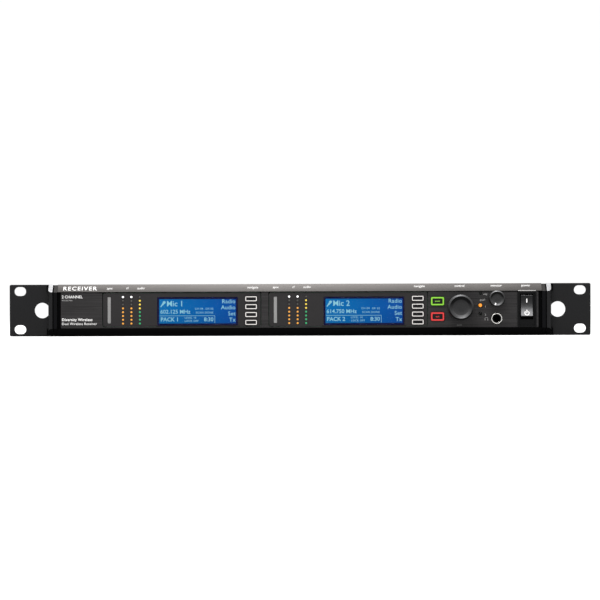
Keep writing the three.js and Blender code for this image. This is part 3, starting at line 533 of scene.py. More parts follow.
# The walls of the fascia's openings are painted near-black as shade in the gaps.
refined("fascia_panel", FASCIA, "fascia_film", bevel=0.12, others=[(gap_wall_shade, DEEP_BLACK)])
for side in ("left", "right"):
    # Upward faces take the painted-highlight top and front faces the dark copy; the inner strip, lower slope and groove
    # take painted shade.
    refined("end_cap_" + side, CAP_TOP_PAINTED_LIGHT, "anodised_aluminium", bevel=0.3,
            others=[(cap_lugs_and_shaded_faces, DARK_WITH_PAINTED_SHADE), (cap_shaded_strip_slope, CAP_STRIP_SLOPE_PAINTED_SHADE), (cap_shaded_strip, CAP_STRIP_PAINTED_SHADE),
                    (cap_front, CAP_FACE)])


def recess_radius(kind, turn, size):
    """The outline of a screw's drive: a hexagon or a cross."""
    if kind == "hex":
        folded = (turn % (pi / 3)) - pi / 6
        return size * cos(pi / 6) / cos(folded)
    arm, half = size, size * 0.26
    folded = abs((turn + pi / 4) % (pi / 2) - pi / 4)
    return arm / cos(folded) if tan(folded) * arm <= half else half / sin(folded)


def screw_head(bm, place, outward, radius, height, kind="cross", drive=None):
    """A domed head with a real drive recess. place is on the seat, in millimetres, and outward is the way it faces."""
    drive = drive or radius * 0.56
    turn_to = Vector((0, 0, 1)).rotation_difference(Vector(outward)).to_matrix()
    place = Vector(place)

    def ring(radius_at, h):
        points = [Vector((radius_at(t) * cos(t), radius_at(t) * sin(t), h)) for t in angles(48)]
        return [bm.verts.new((place + turn_to @ point) * MM) for point in points]

    head = ((0.98, 0.0), (1.0, 0.22), (0.93, 0.55), (0.76, 0.86), (0.64, 1.0))
    rings = [ring(lambda t: radius * share, height * up) for share, up in head]
    recess = ((1.0, 1.0), (0.86, 0.25))
    rings += [ring(lambda t: share * recess_radius(kind, t, drive), height * up) for share, up in recess]
    stacked(bm, rings)


def ear_screws():
    for side, outward in (("left", -1), ("right", 1)):
        low, high = mm_box("ear_screw_" + side)
        seat = low.x + 1.6 if outward < 0 else high.x - 1.6
        centre = (low + high) / 2
        bm = bmesh.new()
        screw_head(bm, (seat, centre.y, centre.z), (outward, 0, 0), 3.6, 1.6, "hex", 1.7)
        fixed(f"ear_screw_{side}_head", bm, BLACK_SCREW, "black_steel", ["ear_screw_" + side], angle=40)
    # The middle screw's head stands 1.7 mm out from the ear's leg.
    leg_x = mm_box("ear_screw_right")[1].x - 1.7
    ear_front = mm_box("rack_ear_left")[0].y
    bm = bmesh.new()
    for outward in (-1, 1):
        for y in (14, 40):
            for z in (-9.5, 9.5):
                screw_head(bm, (outward * leg_x, ear_front + y, MID_Z + z), (outward, 0, 0), 2.9, 1.4, "hex", 1.4)
    fixed("ear_side_screws", bm, BLACK_SCREW, "black_steel", angle=40)


ear_screws()


def case_screws():
    """Screws of the cover along its long and short edges, and of the rear panel."""
    cover_low, cover_high = mm_box("top_cover")
    panel = mm_box("rear_panel")[1].y
    bm = bmesh.new()
    spots = [(x, y) for y in (cover_low.y + 9, cover_high.y - 10) for x in (-190, -64, 64, 190)]
    length = cover_high.y - cover_low.y
    spots += [(sx * 197, cover_low.y + share * length) for sx in (-1, 1) for share in (0.36, 0.66)]
    for x, y in spots:
        screw_head(bm, (x, y, cover_high.z - 0.14), (0, 0, 1), 2.6, 0.22)
    fixed("cover_screws", bm, BLACK_SCREW, "black_steel", angle=40)
    bm = bmesh.new()
    for x in (-200, -138, -72, 12, 62, 140, 200.5):
        for z in (5.0, 37.0):
            screw_head(bm, (x, panel - 0.05, z), (0, 1, 0), 2.4, 1.3)
    fixed("rear_panel_screws", bm, BLACK_SCREW, "black_steel", angle=40)


case_screws()


# ---------- Channel sections ----------
METER_COLOURS = [["white", "off", "off"] + ["amber"] * 5] * 2 + [["off"] + ["yellow"] * 3 + ["green"] * 4]
COLUMN_STEP, ROW_STEP = 7.0, 3.14  # millimetres between the meter's columns, and between its rows
SHOWN = (63.6, 20.1)  # the width and height of the lit part of a display, in millimetres


def dome(bm, x, y, z, radius, rise, index, sides=24):
    """A lens cap: a short rim and a dome towards the front."""
    profile = [(0, y + 1.2), (radius, y + 1.2), (radius, y)]
    for i in range(1, 5):
        turn = pi / 2 * i / 4
        profile.append((radius * cos(turn) if i < 4 else 0, y - rise * sin(turn)))
    lathe(bm, profile, x, z, sides, index)


def channel(number):
    front = mm_box(f"channel_insert_{number}")[0].y
    # The insert's side walls are painted near-black as shade in the gap round it.
    refined(f"channel_insert_{number}", INSERT, "insert_plastic", bevel=0.16, others=[(gap_wall_shade, DEEP_BLACK)])
    refined(f"sync_window_{number}", SYNC, "sync_window", bevel=0.12)
    cx, cz, _, _ = placed(f"meter_light_pipe_{number}")
    bm = bmesh.new()
    for column, colours in enumerate(METER_COLOURS, -1):
        for row, colour in enumerate(colours):
            dome(bm, cx + column * COLUMN_STEP, front - 0.02, cz + (3.5 - row) * ROW_STEP,
                 0.78 if colour != "off" else 0.62, 0.36, LAMP_NAMES.index(colour))
    finished(f"meter_lamps_{number}", bm, LAMP_MATERIALS, "chassis", [f"meter_light_pipe_{number}"], "light_pipe",
             angle=50)

    cx, cz, lens_low, lens_high = placed(f"display_lens_{number}")
    width, height = lens_high.x - lens_low.x, lens_high.z - lens_low.z
    bm = bmesh.new()
    tube(bm, rounded(cx, cz, width - 0.02, height - 0.02, 0.8), rounded(cx, cz, *SHOWN, 0.25),
         lens_low.y + 0.36, lens_high.y)
    fixed(f"display_border_{number}", bm, SCREEN_EDGE, "display_glass", [f"display_lens_{number}"])
    bm = bmesh.new()
    prism(bm, rounded(cx, cz, width, height, 0.8), lens_low.y, lens_low.y + 0.3)
    fixed(f"display_glass_{number}", bm, GLASS, "display_glass", bevel=0.08)
    bm = bmesh.new()
    prism(bm, rounded(cx, cz, SHOWN[0] + 0.4, SHOWN[1] + 0.4, 0.2, 2), lens_low.y + 0.95, lens_low.y + 1.25)
    fixed(f"display_screen_{number}", bm, BACKLIGHT, "display_glass")
    display_graphics(number, cx - SHOWN[0] / 2, cz - SHOWN[1] / 2, lens_low.y + 0.93)

    for i in range(1, 5):
        soft_key(f"navigate_key_{number}_{i}", 1.0, 0.88, PALE_RING, BLACK_PLASTIC, "key_plastic")


def display_graphics(number, left, bottom, y):
    """The lit pixels of a display: a microphone mark, a channel name, a frequency, a boxed battery row and a menu."""
    right = left + SHOWN[0]
    plain = {"thick": 0.015, "align": "LEFT"}
    small = {"thick": 0.015, "align": "LEFT", "weight": 0.01, "spacing": 1.15}
    menu = {"thick": 0.015, "align": "RIGHT", "weight": 0.03, "spacing": 1.05}
    items = [(words, left + over, y, bottom + up, size, options) for words, over, up, size, options in (
        (f"Mic {number}", 6.0, 16.2, 6.4, {**plain, "weight": 0.07}),
        ("602.125 MHz" if number == 1 else "614.750 MHz", 0.8, 9.6, 4.6, {**plain, "weight": 0.05}),
        ("CH 04  GR 02", 29.5, 12.1, 2.3, small),
        ("SCAN DONE", 30.2, 8.9, 2.3, small),
        ("PACK 1" if number == 1 else "PACK 2", 1.0, 3.2, 4.6, {**plain, "weight": 0.08}),
        ("LEVEL 10", 21.0, 4.6, 2.2, small),
        ("LOCK OFF", 21.0, 2.0, 2.2, small),
        ("8:30", 37.0, 3.2, 4.6, {**plain, "weight": 0.05}),
    )]
    for word, up in (("Radio", 18.1), ("Audio", 13.1), ("Set", 8.0), ("Tx", 2.9)):
        items.append((word, right - 0.4, y, bottom + up, 4.7, menu))
    lettering(f"display_words_{number}", items, PIXEL, "chassis", "display_glass")
    bm = bmesh.new()

    def stroke(points, width):
        for (x0, z0), (x1, z1) in zip(points, points[1:]):
            along = Vector((x1 - x0, z1 - z0)).normalized() * width / 2
            across = Vector((-along.y, along.x))
            ends = [(x + sa * across.x + sl * along.x, z + sa * across.y + sl * along.y)
                    for x, z, sa, sl in ((x0, z0, 1, -1), (x0, z0, -1, -1), (x1, z1, -1, 1), (x1, z1, 1, 1))]
            prism(bm, ends, y - 0.015, y + 0.015)

    slab(bm, left + 0.3, left + 46.2, bottom + 6.2, bottom + 6.5, y - 0.015, y + 0.015)
    slab(bm, left + 45.9, left + 46.2, bottom + 0.4, bottom + 6.1, y - 0.015, y + 0.015)
    stroke([(left + 1.4, bottom + 14.1), (left + 3.4, bottom + 16.6)], 0.9)
    prism(bm, polar(left + 4.0, bottom + 17.4, lambda t: 1.15, 16), y - 0.015, y + 0.015)
    stroke([(left + 3.0, bottom + 16.0), (left + 4.4, bottom + 17.7)], 1.5)
    fixed(f"display_marks_{number}", bm, PIXEL, "display_glass", weld=False)


# A key's flange, behind the panel, is wider and taller than its cap by this many millimetres.
FLANGE_WIDER, FLANGE_TALLER = 1.4, 0.9


def soft_key(cad_node, radius, border, ring_material, rim_material, slot, words=None, word_size=1.9):
    """A key cap: a coloured border with a darker rim round a black middle, on the key's own stem and flange; on the
    green and red keys the rim is a darker copy of the border's colour, painted shade along its edge.
    """
    cx, cz, low, high = placed(cad_node)
    width, height = high.x - low.x - FLANGE_WIDER, high.z - low.z - FLANGE_TALLER
    front, back = low.y, high.y
    # The flange's own sides are the widest part of the key, and its front stays behind the panel.
    flange = min(v.co.y for v in frame["nodes"][cad_node].data.vertices if v.co.x > (high.x - 0.05) * MM) / MM
    bm = bmesh.new()
    outer = rounded(cx, cz, width, height, radius)
    inner = rounded(cx, cz, width - 2 * border, height - 2 * border, max(0.3, radius - border * 0.7))
    rim = rounded(cx, cz, width - 0.6, height - 0.6, radius - 0.2)
    tube(bm, outer, rim, front + 0.2, flange + 0.05, 1)
    tube(bm, rim, inner, front, flange + 0.05)
    finished(cad_node + "_border", bm, [ring_material, rim_material], BODY[cad_node], [cad_node], slot, bevel=0.12,
             segments=3, weld=False)
    bm = bmesh.new()
    inset = [(cx + (x - cx) * 0.992, cz + (z - cz) * 0.985) for x, z in inner]
    rings = [ring_of(bm, inset, flange + 0.02), ring_of(bm, inset, front + 0.32)]
    for scale, y in ((0.97, 0.22), (0.85, 0.16), (0.6, 0.12)):
        rings.append(ring_of(bm, [(cx + (x - cx) * scale, cz + (z - cz) * scale) for x, z in inset], front + y))
    stacked(bm, rings)
    finished(cad_node + "_middle", bm, [DEEP_BLACK], BODY[cad_node], slot=slot, angle=50)
    bm = bmesh.new()
    prism(bm, rounded(cx, cz, width + FLANGE_WIDER, height + FLANGE_TALLER, radius), flange, flange + 0.6)
    prism(bm, rounded(cx, cz, 3, 2, 0.3, 3), flange + 0.55, back)
    finished(cad_node + "_stem", bm, [BLACK_PLASTIC], BODY[cad_node], slot=slot, weld=False)
    if words:
        lettering(cad_node + "_word", [(words, cx, front + 0.12, cz, word_size, {"weight": 0.04, "spacing": 1.05})],
                  ring_material, BODY[cad_node], slot)


for number in (1, 2):
    channel(number)
soft_key("enter_key", 1.2, 1.4, GREEN_RING, GREEN_RIM_SHADE, "green_key", "enter")
soft_key("exit_key", 1.2, 1.4, RED_RING, RED_RIM_SHADE, "red_key", "exit")


# ---------- Knobs ----------
def knob(cad_node, ribs, pointer):
    cx, cz, low, high = placed(cad_node)
    r, front, back = (high.x - low.x) / 2, low.y, high.y

    def ribbed(radius, y, turn):
        if radius < r * 0.985 or y < side + 0.7:
            return radius
        return radius - 0.16 * (0.5 + 0.5 * cos(ribs * turn))

    # A flat disc, a hollow that rises to the crest, and a sloped rim that falls back to the side.
    disc, crest, depth = 0.6 * r, 0.865 * r, 0.115 * r + 0.1
    profile = [(0, front + depth), (disc * 0.5, front + depth), (disc, front + depth)]
    for i in range(1, 8):
        share = i / 8
        profile.append((disc + (crest - disc) * share, front + depth * (1 - share ** 1.4)))
    side = front + 0.07 * r
    profile += [(crest, front + 0.02), (crest + 0.12, front), (crest + 0.24, front + 0.05), (0.975 * r, side),
                (r - 0.04, side + 0.12), (r, side + 0.35), (r, side + 0.6), (r, side + 0.75), (r, back - 1.2),
                (r, back - 0.9), (0.985 * r, back - 0.25), (0.96 * r, back), (4.4, back), (4.4, back - 1.8),
                (3.15, back - 1.8), (3.15, front + 4), (0, front + 4)]
    turned(cad_node + "_finished", profile, cx, cz, KNOB_PAINTED_LIGHT, "knob_plastic", BODY[cad_node], ribs * 6, ribbed,
           replaces=[cad_node], angle=40)
    if pointer:
        direction = Vector((cos(radians(pointer)), sin(radians(pointer))))
        across = Vector((-direction.y, direction.x))
        bm = bmesh.new()
        rows = []
        for distance, half in ((0.56, 0.4), (0.63, 0.5), (0.7, 0.55), (0.77, 0.6), (0.84, 0.62)):
            rise = max(0.0, (distance * r - disc) / (crest - disc)) ** 1.4
            y = depth * (1 - rise) + 0.02
            centre = Vector((cx, cz)) + direction * distance * r
            rows.append([(centre + across * s * half, front + y - 0.06) for s in (-1, 1)])
        tops, deeps = ([[vert(bm, p.x, y + deep, p.y) for p, y in row] for row in rows] for deep in (0.0, 0.5))
        for grid in (tops, deeps):
            for a, b in zip(grid, grid[1:]):
                bm.faces.new((a[0], a[1], b[1], b[0]))
        for k in (0, 1):
            for i in range(len(tops) - 1):
                bm.faces.new((tops[i][k], tops[i + 1][k], deeps[i + 1][k], deeps[i][k]))
        for row, deep in ((tops[0], deeps[0]), (tops[-1], deeps[-1])):
            bm.faces.new((row[0], row[1], deep[1], deep[0]))
        finished(cad_node + "_pointer", bm, [LEGEND], BODY[cad_node], slot="knob_plastic")


knob("control_knob", 48, None)
knob("monitor_knob", 36, 253)
for material, cad_nodes in (
        (ZINC, ("control_shaft", "control_rotor", "control_encoder", "monitor_shaft", "monitor_rotor",
                "monitor_volume_body", "tuner_module_1", "tuner_module_2")),
        (BOARD, ("main_board", "front_board", "power_supply")),
        (DEEP_BLACK, ("headphone_jack_body", "lcd_module_1", "lcd_module_2"))):
    for cad_node in cad_nodes:
        cad_materials = frame["nodes"][cad_node].data.materials
        cad_materials.clear()
        cad_materials.append(material)


# ---------- Status lamps and headphone jack ----------
def status_lamps():
    cx, _, low, high = placed("monitor_light_pipe")
    top = high.z - 1.1
    bm = bmesh.new()
    for z, colour, radius in ((top, "dark", 1.0), (top - 10.3, "orange", 1.42), (top - 16.9, "dark", 1.2)):
        dome(bm, cx, low.y - 0.02, z, radius, 0.55, LAMP_NAMES.index(colour), 32)
    finished("status_lamps", bm, LAMP_MATERIALS, "chassis", ["monitor_light_pipe"], "light_pipe", angle=50)


status_lamps()


def headphone_jack():
    cx, cz, low, high = placed("headphone_jack_bushing")
    r, front = (high.x - low.x) / 2, low.y
    profile = [(3.2, front + 2.2), (3.7, front + 0.5), (3.8, front + 0.1), (3.9, front), (r - 0.3, front),
               (r - 0.2, front + 0.1), (r - 0.15, front + 0.5), (r, front + 0.6), (r, high.y), (3.2, high.y)]
    turned("headphone_jack_ring", profile, cx, cz, NICKEL, "nickel", replaces=["headphone_jack_bushing"], angle=50)
    # The dark throat of the jack lines the ring.
    turned("headphone_jack_throat", [(3.19, front + 1.2), (3.19, high.y), (2.95, high.y), (2.95, front + 1.2)], cx, cz,
           DEEP_BLACK, "black_plastic", sides=48)


headphone_jack()


# ---------- Mains rocker ----------
FRAME_WIDTH = 15.6  # the width of the switch's frame, in millimetres


def power_switch():
    cx, _, _, high = placed("power_switch_frame")

    def highlighted_top_edge(face):
        return face.normal.z > 0.7 and face.calc_center_median().z > (high.z - 0.5) * MM

    # The frame's top edge takes the painted highlight.
    refined("power_switch_frame", SWITCH_PLASTIC, "black_plastic", bevel=0.3, others=[(highlighted_top_edge, SWITCH_EDGE_HIGHLIGHT)])
    bm = bmesh.new()
    # The frame's top edge laps the foot of the extrusion's slope with a thin bright lip, 0.2 mm out from it: a painted
    # highlight, the line where light catches that edge.
    prism(bm, rounded(cx, high.z + 0.7, FRAME_WIDTH - 0.9, 0.7, 0.15, 3), front_low.y - 0.2, front_low.y + 0.6)
    fixed("power_switch_highlight_lip", bm, SWITCH_EDGE_HIGHLIGHT, "black_plastic", bevel=0.08)
    pivot = Vector(JOINTS["power_rocker_tilt"]["pos_m"]) / MM
    # Half the rocker's width and height, and how far its face stands from the pivot at its ends and in its middle.
    half_width, half_height, edge, mid = 5.05, 8.85, 5.2, 3.9
    reach = hypot(half_height, edge)

    def hollow(share):
        """How far the rocker's face stands from the pivot, at a share of its half height."""
        return -(mid + (edge - mid) * share * share)

    section = [(hollow(i / 12), i / 12 * half_height) for i in range(-12, 13)]
    start = asin(edge / reach)
    upper = [(-reach * sin(start * (1 - i / 8)), reach * cos(start * (1 - i / 8))) for i in range(1, 9)]
    section += upper + [(3, 6), (3, -6)] + [(y, -z) for y, z in reversed(upper)]
    lean = Matrix.Translation(pivot * MM) @ Matrix.Rotation(radians(-9), 4, "X")
    bm = bmesh.new()
    stacked(bm, [[vert(bm, x, y, z) for y, z in section] for x in (-half_width, half_width)])
    bmesh.ops.transform(bm, matrix=lean, verts=bm.verts)
    finished("power_rocker_finished", bm, [ROCKER_PAINTED_LIGHT], "power_rocker", ["power_rocker"], "black_plastic", bevel=0.45,
             segments=3, angle=50)

    bm = bmesh.new()

    def mark(points):
        """A printed mark that lies on the hollow of the rocker."""
        stacked(bm, [[vert(bm, x, hollow(z / half_height) + lift, z) for x, z in points] for lift in (-0.03, 0.02)])

    def strip(x0, x1, z0, z1):
        steps = 6
        points = [(x0, z0 + (z1 - z0) * i / steps) for i in range(steps + 1)]
        points += [(x1, z1 - (z1 - z0) * i / steps) for i in range(steps + 1)]
        mark(points)

    strip(-0.42, 0.42, 2.7, 5.9)
    strip(-0.36, 0.36, -6.1, -3.3)
    # The broken ring is open for 42 degrees on each side of its top.
    arc = [radians(90 + 42 + (360 - 84) * i / 28) for i in range(29)]
    mark([(2.1 * cos(t), -6.1 + 2.1 * sin(t)) for t in arc]
         + [(1.4 * cos(t), -6.1 + 1.4 * sin(t)) for t in reversed(arc)])
    bmesh.ops.transform(bm, matrix=lean, verts=bm.verts)
    finished("power_rocker_marks", bm, [LEGEND], "power_rocker", slot="black_plastic", weld=False)


power_switch()


# ---------- Front legends ----------
def front_legends():
    # The slope starts 36.75 mm up and rises as fast as it goes back; the line of words is 2.65 mm above its start.
    slope_y = front_low.y + 2.65 - LIFT
    slope_z = front_low.z + 36.75 + 2.65 + LIFT
    lean = {"tilt": -45, "weight": 0.01, "stretch": 1.35}
    items, grey, dim = [], [], []

    def on_slope(words, x, size=2.8, **options):
        climb = 0.9 + x * 0.0044
        items.append((words, x, slope_y + climb, slope_z + climb, size, {**lean, **options}))

    def on_face(group, words, x, up, size, **options):
        group.append((words, x, FACE - 0.01, MID_Z + up, size, options))

    for number in (1, 2):
        pipe = middle(f"meter_light_pipe_{number}")
        on_slope("sync", middle(f"sync_window_{number}").x + 0.3)
        on_slope("rf", pipe.x - 3.5)
        on_slope("audio", pipe.x + 7.8)
        on_slope("navigate", middle(f"navigate_key_{number}_1").x + 1.4)
    control, monitor, switch = middle("control_knob"), middle("monitor_knob"), middle("power_switch_frame")
    on_slope("control", control.x - 0.5)
    on_slope("monitor", monitor.x)
    on_slope("power", switch.x - 0.7)
    left = fascia_low.x + 1.6
    on_slope("RECEIVER", left, 5.6, align="LEFT", weight=0.09, spacing=1.22, stretch=1.1)
    on_face(items, "2 CHANNEL", left - 0.8, 11.1, 3.2, align="LEFT", weight=0.01)
    on_face(grey, "470-636 MHz", left - 0.8, 8.2, 1.6, align="LEFT")
    on_face(items, "Diversity Wireless", left - 0.8, -7.8, 3.1, align="LEFT", weight=0.05, spacing=1.08)
    on_face(items, "Dual Wireless Receiver", left - 0.8, -11.2, 2.8, align="LEFT", spacing=1.08)
    lamp = middle("monitor_light_pipe")
    on_face(grey, "clip", lamp.x + 4.2, 12.5, 2.3)
    on_face(grey, "push", lamp.x + 1.9, 7.8, 2.3)
    on_face(grey, "1", lamp.x + 4.2, 2.2, 2.2)
    on_face(grey, "2", lamp.x + 4.2, -4.5, 2.2)
    on_face(dim, "push", control.x - 0.8, -12.9, 2.3)
    lettering("front_legends", items, LEGEND, "chassis", "fascia_film")
    lettering("front_small_legends", grey, GREY_LEGEND, "chassis", "fascia_film")
    lettering("front_knob_legend", dim, DIM_LEGEND, "chassis", "fascia_film")
    # The headphone mark: a band and two ear pads.
    jack = middle("headphone_jack_bushing")
    bm = bmesh.new()
    cx, cz = jack.x - 8.5, jack.z - 0.4
    arc = [radians(180 * i / 16) for i in range(17)]
    points = [(cx + 1.3 * cos(t), cz + 1.3 * sin(t)) for t in arc]
    points += [(cx + 1.12 * cos(t), cz + 1.12 * sin(t)) for t in reversed(arc)]
    prism(bm, points, FACE - 0.03, FACE + 0.02)
    for side in (-1, 1):
        prism(bm, rounded(cx + side * 1.15, cz - 0.6, 0.36, 1.2, 0.12, 3), FACE - 0.035, FACE + 0.02)
    fixed("headphone_mark", bm, GREY_LEGEND, "fascia_film", weld=False)


front_legends()


# ---------- Rear ----------
def box_radius(turn, width, height, corner):
    """The distance from the middle of a rounded rectangle to its edge, in a direction."""
    dx, dz = abs(cos(turn)), abs(sin(turn))
    low, high = 0.0, width + height
    for _ in range(40):
        test = (low + high) / 2
        x, z = test * dx, test * dz
        over_x, over_z = max(0.0, x - (width / 2 - corner)), max(0.0, z - (height / 2 - corner))
        inside = x <= width / 2 and z <= height / 2 and hypot(over_x, over_z) <= corner
        low, high = (test, high) if inside else (low, test)
    return low


def xlr(cad_node):
    cx, cz, _, high = placed(cad_node)
    rear = high.y
    bm = bmesh.new()
    tube(bm, polar(cx, cz, lambda t: box_radius(t, 26, 31, 2.5)), polar(cx, cz, lambda t: 9.3), rear - 2.2, rear - 0.35)
    tube(bm, polar(cx, cz, lambda t: 11.3), polar(cx, cz, lambda t: 9.2), rear - 2.0, rear)
    lathe(bm, [(9.2, rear - 0.3), (9.2, rear - 17), (0, rear - 17), (0, rear - 19.7), (11.5, rear - 19.7),
               (11.5, rear - 2.2), (9.6, rear - 2.2), (9.6, rear - 0.3)], cx, cz)
    fixed(cad_node + "_shell", bm, BLACK_PLASTIC, "black_plastic", [cad_node], bevel=0.2, angle=40, weld=False)
    bm = bmesh.new()
    for degrees in (90, 210, 330):
        px, pz = cx + 4.1 * cos(radians(degrees)), cz + 4.1 * sin(radians(degrees))
        lathe(bm, [(0, rear - 17.5), (1.2, rear - 17.5), (1.2, rear - 5.6), (1.0, rear - 5.0), (0.6, rear - 4.75),
                   (0, rear - 4.7)], px, pz, 24)
    fixed(cad_node + "_pins", bm, NICKEL, "nickel", angle=50)
    bm = bmesh.new()
    for sx, sz in ((-1, 1), (1, -1)):
        screw_head(bm, (cx + sx * 9.6, rear - 0.4, cz + sz * 12.2), (0, 1, 0), 2.1, 0.9)
    fixed(cad_node + "_screws", bm, BLACK_SCREW, "black_steel", angle=40)


def line_jack(cad_node):
    cx, cz, low, high = placed(cad_node)
    rear = high.y
    bm = bmesh.new()
    lathe(bm, [(0, low.y), (7.2, low.y), (7.2, rear - 5.2), (0, rear - 5.2)], cx, cz, 48)
    fixed(cad_node + "_body", bm, BLACK_PLASTIC, "nickel", [cad_node], angle=40)
    profile = [(3.2, rear - 12), (3.2, rear - 0.25), (3.45, rear), (4.5, rear), (4.7, rear - 0.2)]
    for i in range(4):
        y = rear - 0.35 - 0.28 * i
        profile += [(4.7, y), (4.52, y - 0.14)]
    profile += [(4.7, rear - 1.6), (4.7, rear - 12)]
    turned(cad_node + "_bushing", profile, cx, cz, NICKEL, "nickel", angle=25)
    bm = bmesh.new()
    hexagon = polar(cx, cz, lambda t: recess_radius("hex", t, 7.2), 72)
    tube(bm, hexagon, polar(cx, cz, lambda t: 4.72, 72), rear - 3.3, rear - 1.5)
    fixed(cad_node + "_nut", bm, NICKEL, "nickel", bevel=0.2, angle=25)


def bayonet_jack(cad_node):
    cx, cz, low, high = placed(cad_node)
    tip = high.y
    seat = mm_box("rear_panel")[1].y + 0.2
    profile = [(0, low.y), (5.2, low.y), (5.2, seat), (7.0, seat), (7.0, seat + 1.9), (6.7, seat + 2.2),
               (5.6, seat + 2.2), (5.6, seat + 3.0), (4.85, seat + 3.3), (4.85, tip - 0.35), (4.6, tip), (4.15, tip),
               (4.05, tip - 0.25), (4.05, tip - 9), (0, tip - 9)]
    bm = bmesh.new()
    lathe(bm, profile, cx, cz, 72)
    for end in (-1, 1):
        lathe_on_z(bm, cx, tip - 4, cz + end * 4.5, end, 1.0, 1.45)
    fixed(cad_node + "_shell", bm, NICKEL, "nickel", [cad_node], angle=35, weld=False)
    bm = bmesh.new()
    hexagon = polar(cx, cz, lambda t: recess_radius("hex", t, 7.5), 72)
    tube(bm, hexagon, polar(cx, cz, lambda t: 5.25, 72), seat, seat + 1.8)
    fixed(cad_node + "_nut", bm, NICKEL, "nickel", bevel=0.2, angle=25)
    insulator = [(0, tip - 9.2), (3.3, tip - 9.2), (3.3, tip - 5.2), (2.3, tip - 5.0), (2.3, tip - 2.4),
                 (2.1, tip - 2.2), (0.75, tip - 2.2), (0.75, tip - 3.4), (0, tip - 3.4)]
    turned(cad_node + "_insulator", insulator, cx, cz, DIELECTRIC, "nickel", sides=48, angle=50)
    contact = [(0.35, tip - 5.0), (0.7, tip - 5.0), (0.7, tip - 2.5), (0.55, tip - 2.3), (0.35, tip - 2.3)]
    turned(cad_node + "_contact", contact, cx, cz, BRASS, "nickel", sides=24, angle=50)


def lathe_on_z(bm, x, y, z, direction, radius, length):
    """A short round bayonet lug that stands out along Z."""
    stacked(bm, [[vert(bm, x + r * cos(t), y + r * sin(t), z + direction * h) for t in angles(24)]
                 for r, h in ((radius, 0.0), (radius, length * 0.8), (radius * 0.8, length))])


def network():
    refined("network_jack", ZINC, "zinc_steel", bevel=0.15)
    cx, cz, _, high = placed("network_jack")
    rear = high.y
    bm = bmesh.new()
    lights = bmesh.new()
    lining = bmesh.new()
    for side in (-1, 1):
        px = cx + side * 8
        for i in range(8):
            x = px - 3.57 + 1.02 * i
            slab(bm, x - 0.22, x + 0.22, cz + 3.3, cz + 3.7, rear - 12.5, rear - 2.0)
        tube(lining, rounded(px, cz, 11.75, 8.15, 0.3), rounded(px, cz, 11.2, 7.6, 0.3), rear - 12.8, rear - 0.15)
        for end in (-1, 1):
            prism(lights, rounded(px + end * 4.7, cz + 5.5, 2.4, 1.3, 0.2, 3), rear - 0.4, rear + 0.12)
    fixed("network_contacts", bm, BRASS, "zinc_steel", weld=False)
    fixed("network_lights", lights, LAMPS["off"], "zinc_steel", bevel=0.1, weld=False)
    fixed("network_linings", lining, DEEP_BLACK, "black_plastic", weld=False)


def inlet():
    refined("mains_inlet", BLACK_PLASTIC, "black_plastic", bevel=0.25)
    cx, cz, _, high = placed("mains_inlet")
    rear = high.y
    bm = bmesh.new()
    for dx, dz in ((-7, -2), (0, 2), (7, -2)):
        prism(bm, rounded(cx + dx, cz + dz, 2.1, 4.1, 0.35, 3), rear - 15.5, rear - 4.95)
    fixed("mains_blades", bm, NICKEL, "nickel", bevel=0.25, weld=False)
    bm = bmesh.new()
    for side in (-1, 1):
        screw_head(bm, (cx + side * 20, rear - 0.05, cz), (0, 1, 0), 2.9, 1.2)
    fixed("mains_inlet_screws", bm, BLACK_SCREW, "black_steel", angle=40)


for cad_node in ("xlr_output_1", "xlr_output_2"):
    xlr(cad_node)
for cad_node in ("line_output_1", "line_output_2"):
    line_jack(cad_node)
for cad_node in ("antenna_jack_a", "antenna_jack_b", "cascade_jack_a", "cascade_jack_b"):
    bayonet_jack(cad_node)
network()
inlet()


def rear_legends():
    y = mm_box("rear_panel")[1].y + 0.005
    items = []
    for cad_node, words, z, size in (
            ("antenna_jack_a", "ANTENNA A", 9.2, 2.4), ("antenna_jack_b", "ANTENNA B", 9.2, 2.4),
            ("cascade_jack_a", "OUT A", 9.2, 2.4), ("cascade_jack_b", "OUT B", 9.2, 2.4),
            ("xlr_output_1", "BALANCED OUT 1", 3.4, 2.1), ("xlr_output_2", "BALANCED OUT 2", 3.4, 2.1),
            ("line_output_1", "LINE 1", 9.2, 2.4), ("line_output_2", "LINE 2", 9.2, 2.4),
            ("network_jack", "NETWORK", 9.2, 2.4), ("mains_inlet", "MAINS", 5.4, 2.3)):
        items.append((words, middle(cad_node).x, y, z, size, {"weight": 0.02}))
    lettering("rear_legends", items, LEGEND, "chassis", "black_steel", REAR_FACING)


rear_legends()


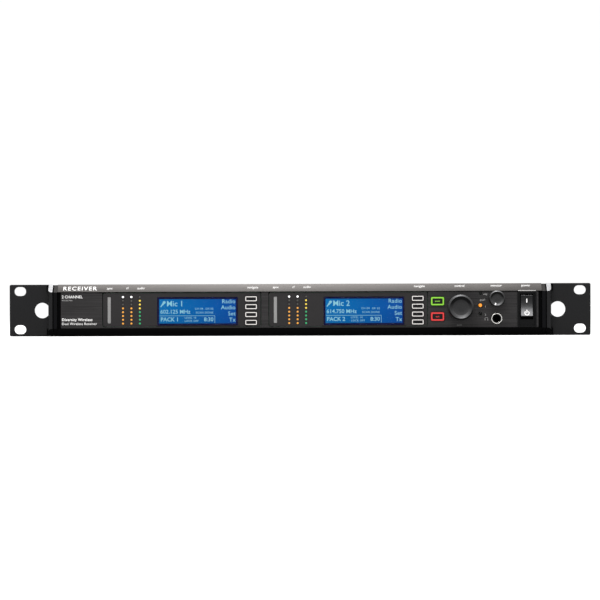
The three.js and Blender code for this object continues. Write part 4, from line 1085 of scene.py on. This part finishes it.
# ---------- Studio ----------
def studio():
    scene = bpy.context.scene
    floor_mesh = bpy.data.meshes.new("floor")
    bm = bmesh.new()
    rings = [[bm.verts.new((reach * cos(t), reach * sin(t), -0.0001)) for t in angles(96)]
             for reach in (0.5, 1, 2, 4, 8, 16)]
    capped(bm, rings[0])
    for a, b in zip(rings, rings[1:]):
        join_rings(bm, a, b)
    bmesh.ops.recalc_face_normals(bm, faces=bm.faces)
    bm.to_mesh(floor_mesh)
    bm.free()
    floor = bpy.data.objects.new("floor", floor_mesh)
    scene.collection.objects.link(floor)
    floor_mesh.materials.append(surface("pale_floor", (0.9, 0.9, 0.9), 0.9, spec=0.02, grain=40, bump=0.0, tone=0.01,
                                        smudge=0.01, glow=(1.0, 1.0, 1.0), glow_strength=0.13))

    world = bpy.data.worlds.new("studio")
    scene.world = world
    world.use_nodes = True
    back = world.node_tree.nodes["Background"]
    back.inputs["Color"].default_value = (1.0, 1.0, 1.0, 1)
    back.inputs["Strength"].default_value = 1.02

    def area(name, place, target, width, height, power):
        light = bpy.data.lights.new(name, "AREA")
        light.shape = "RECTANGLE"
        light.size, light.size_y, light.energy = width, height, power
        lamp = bpy.data.objects.new(name, light)
        lamp.location = place
        lamp.rotation_euler = (Vector(target) - Vector(place)).to_track_quat("-Z", "Y").to_euler()
        scene.collection.objects.link(lamp)

    area("overhead", (-0.07, -0.15, 1.5), (0.0, -0.14, 0.0), 1.4, 0.3, 9)
    area("front_top", (0.0, -1.35, 1.0), (0.0, -0.15, 0.02), 1.3, 0.7, 13)
    area("key", (-0.5, -1.2, 1.75), (0.0, -0.15, 0.02), 0.55, 0.25, 11)

    camera = bpy.data.cameras.new("camera")
    holder = bpy.data.objects.new("camera", camera)
    scene.collection.objects.link(holder)
    # The camera looks at a point 8.1 mm above the middle of the front, from slightly to the right, and rolls slightly.
    ear_front = mm_box("rack_ear_left")[0].y
    target = Vector((0.6, ear_front, MID_Z + 8.1)) * MM
    distance, view_width = 1.975, 0.49835  # metres
    side, roll = radians(1.35), radians(-0.18)
    holder.location = target + distance * Vector((sin(side), -cos(side), 0.0))
    aim = (target - holder.location).to_track_quat("-Z", "Y").to_matrix().to_4x4()
    holder.rotation_euler = (aim @ Matrix.Rotation(roll, 4, "Z")).to_euler()
    camera.sensor_width = 36
    camera.lens = camera.sensor_width * distance / view_width
    camera.clip_end = 50
    scene.camera = holder
    scene.view_settings.view_transform = "Standard"


studio()
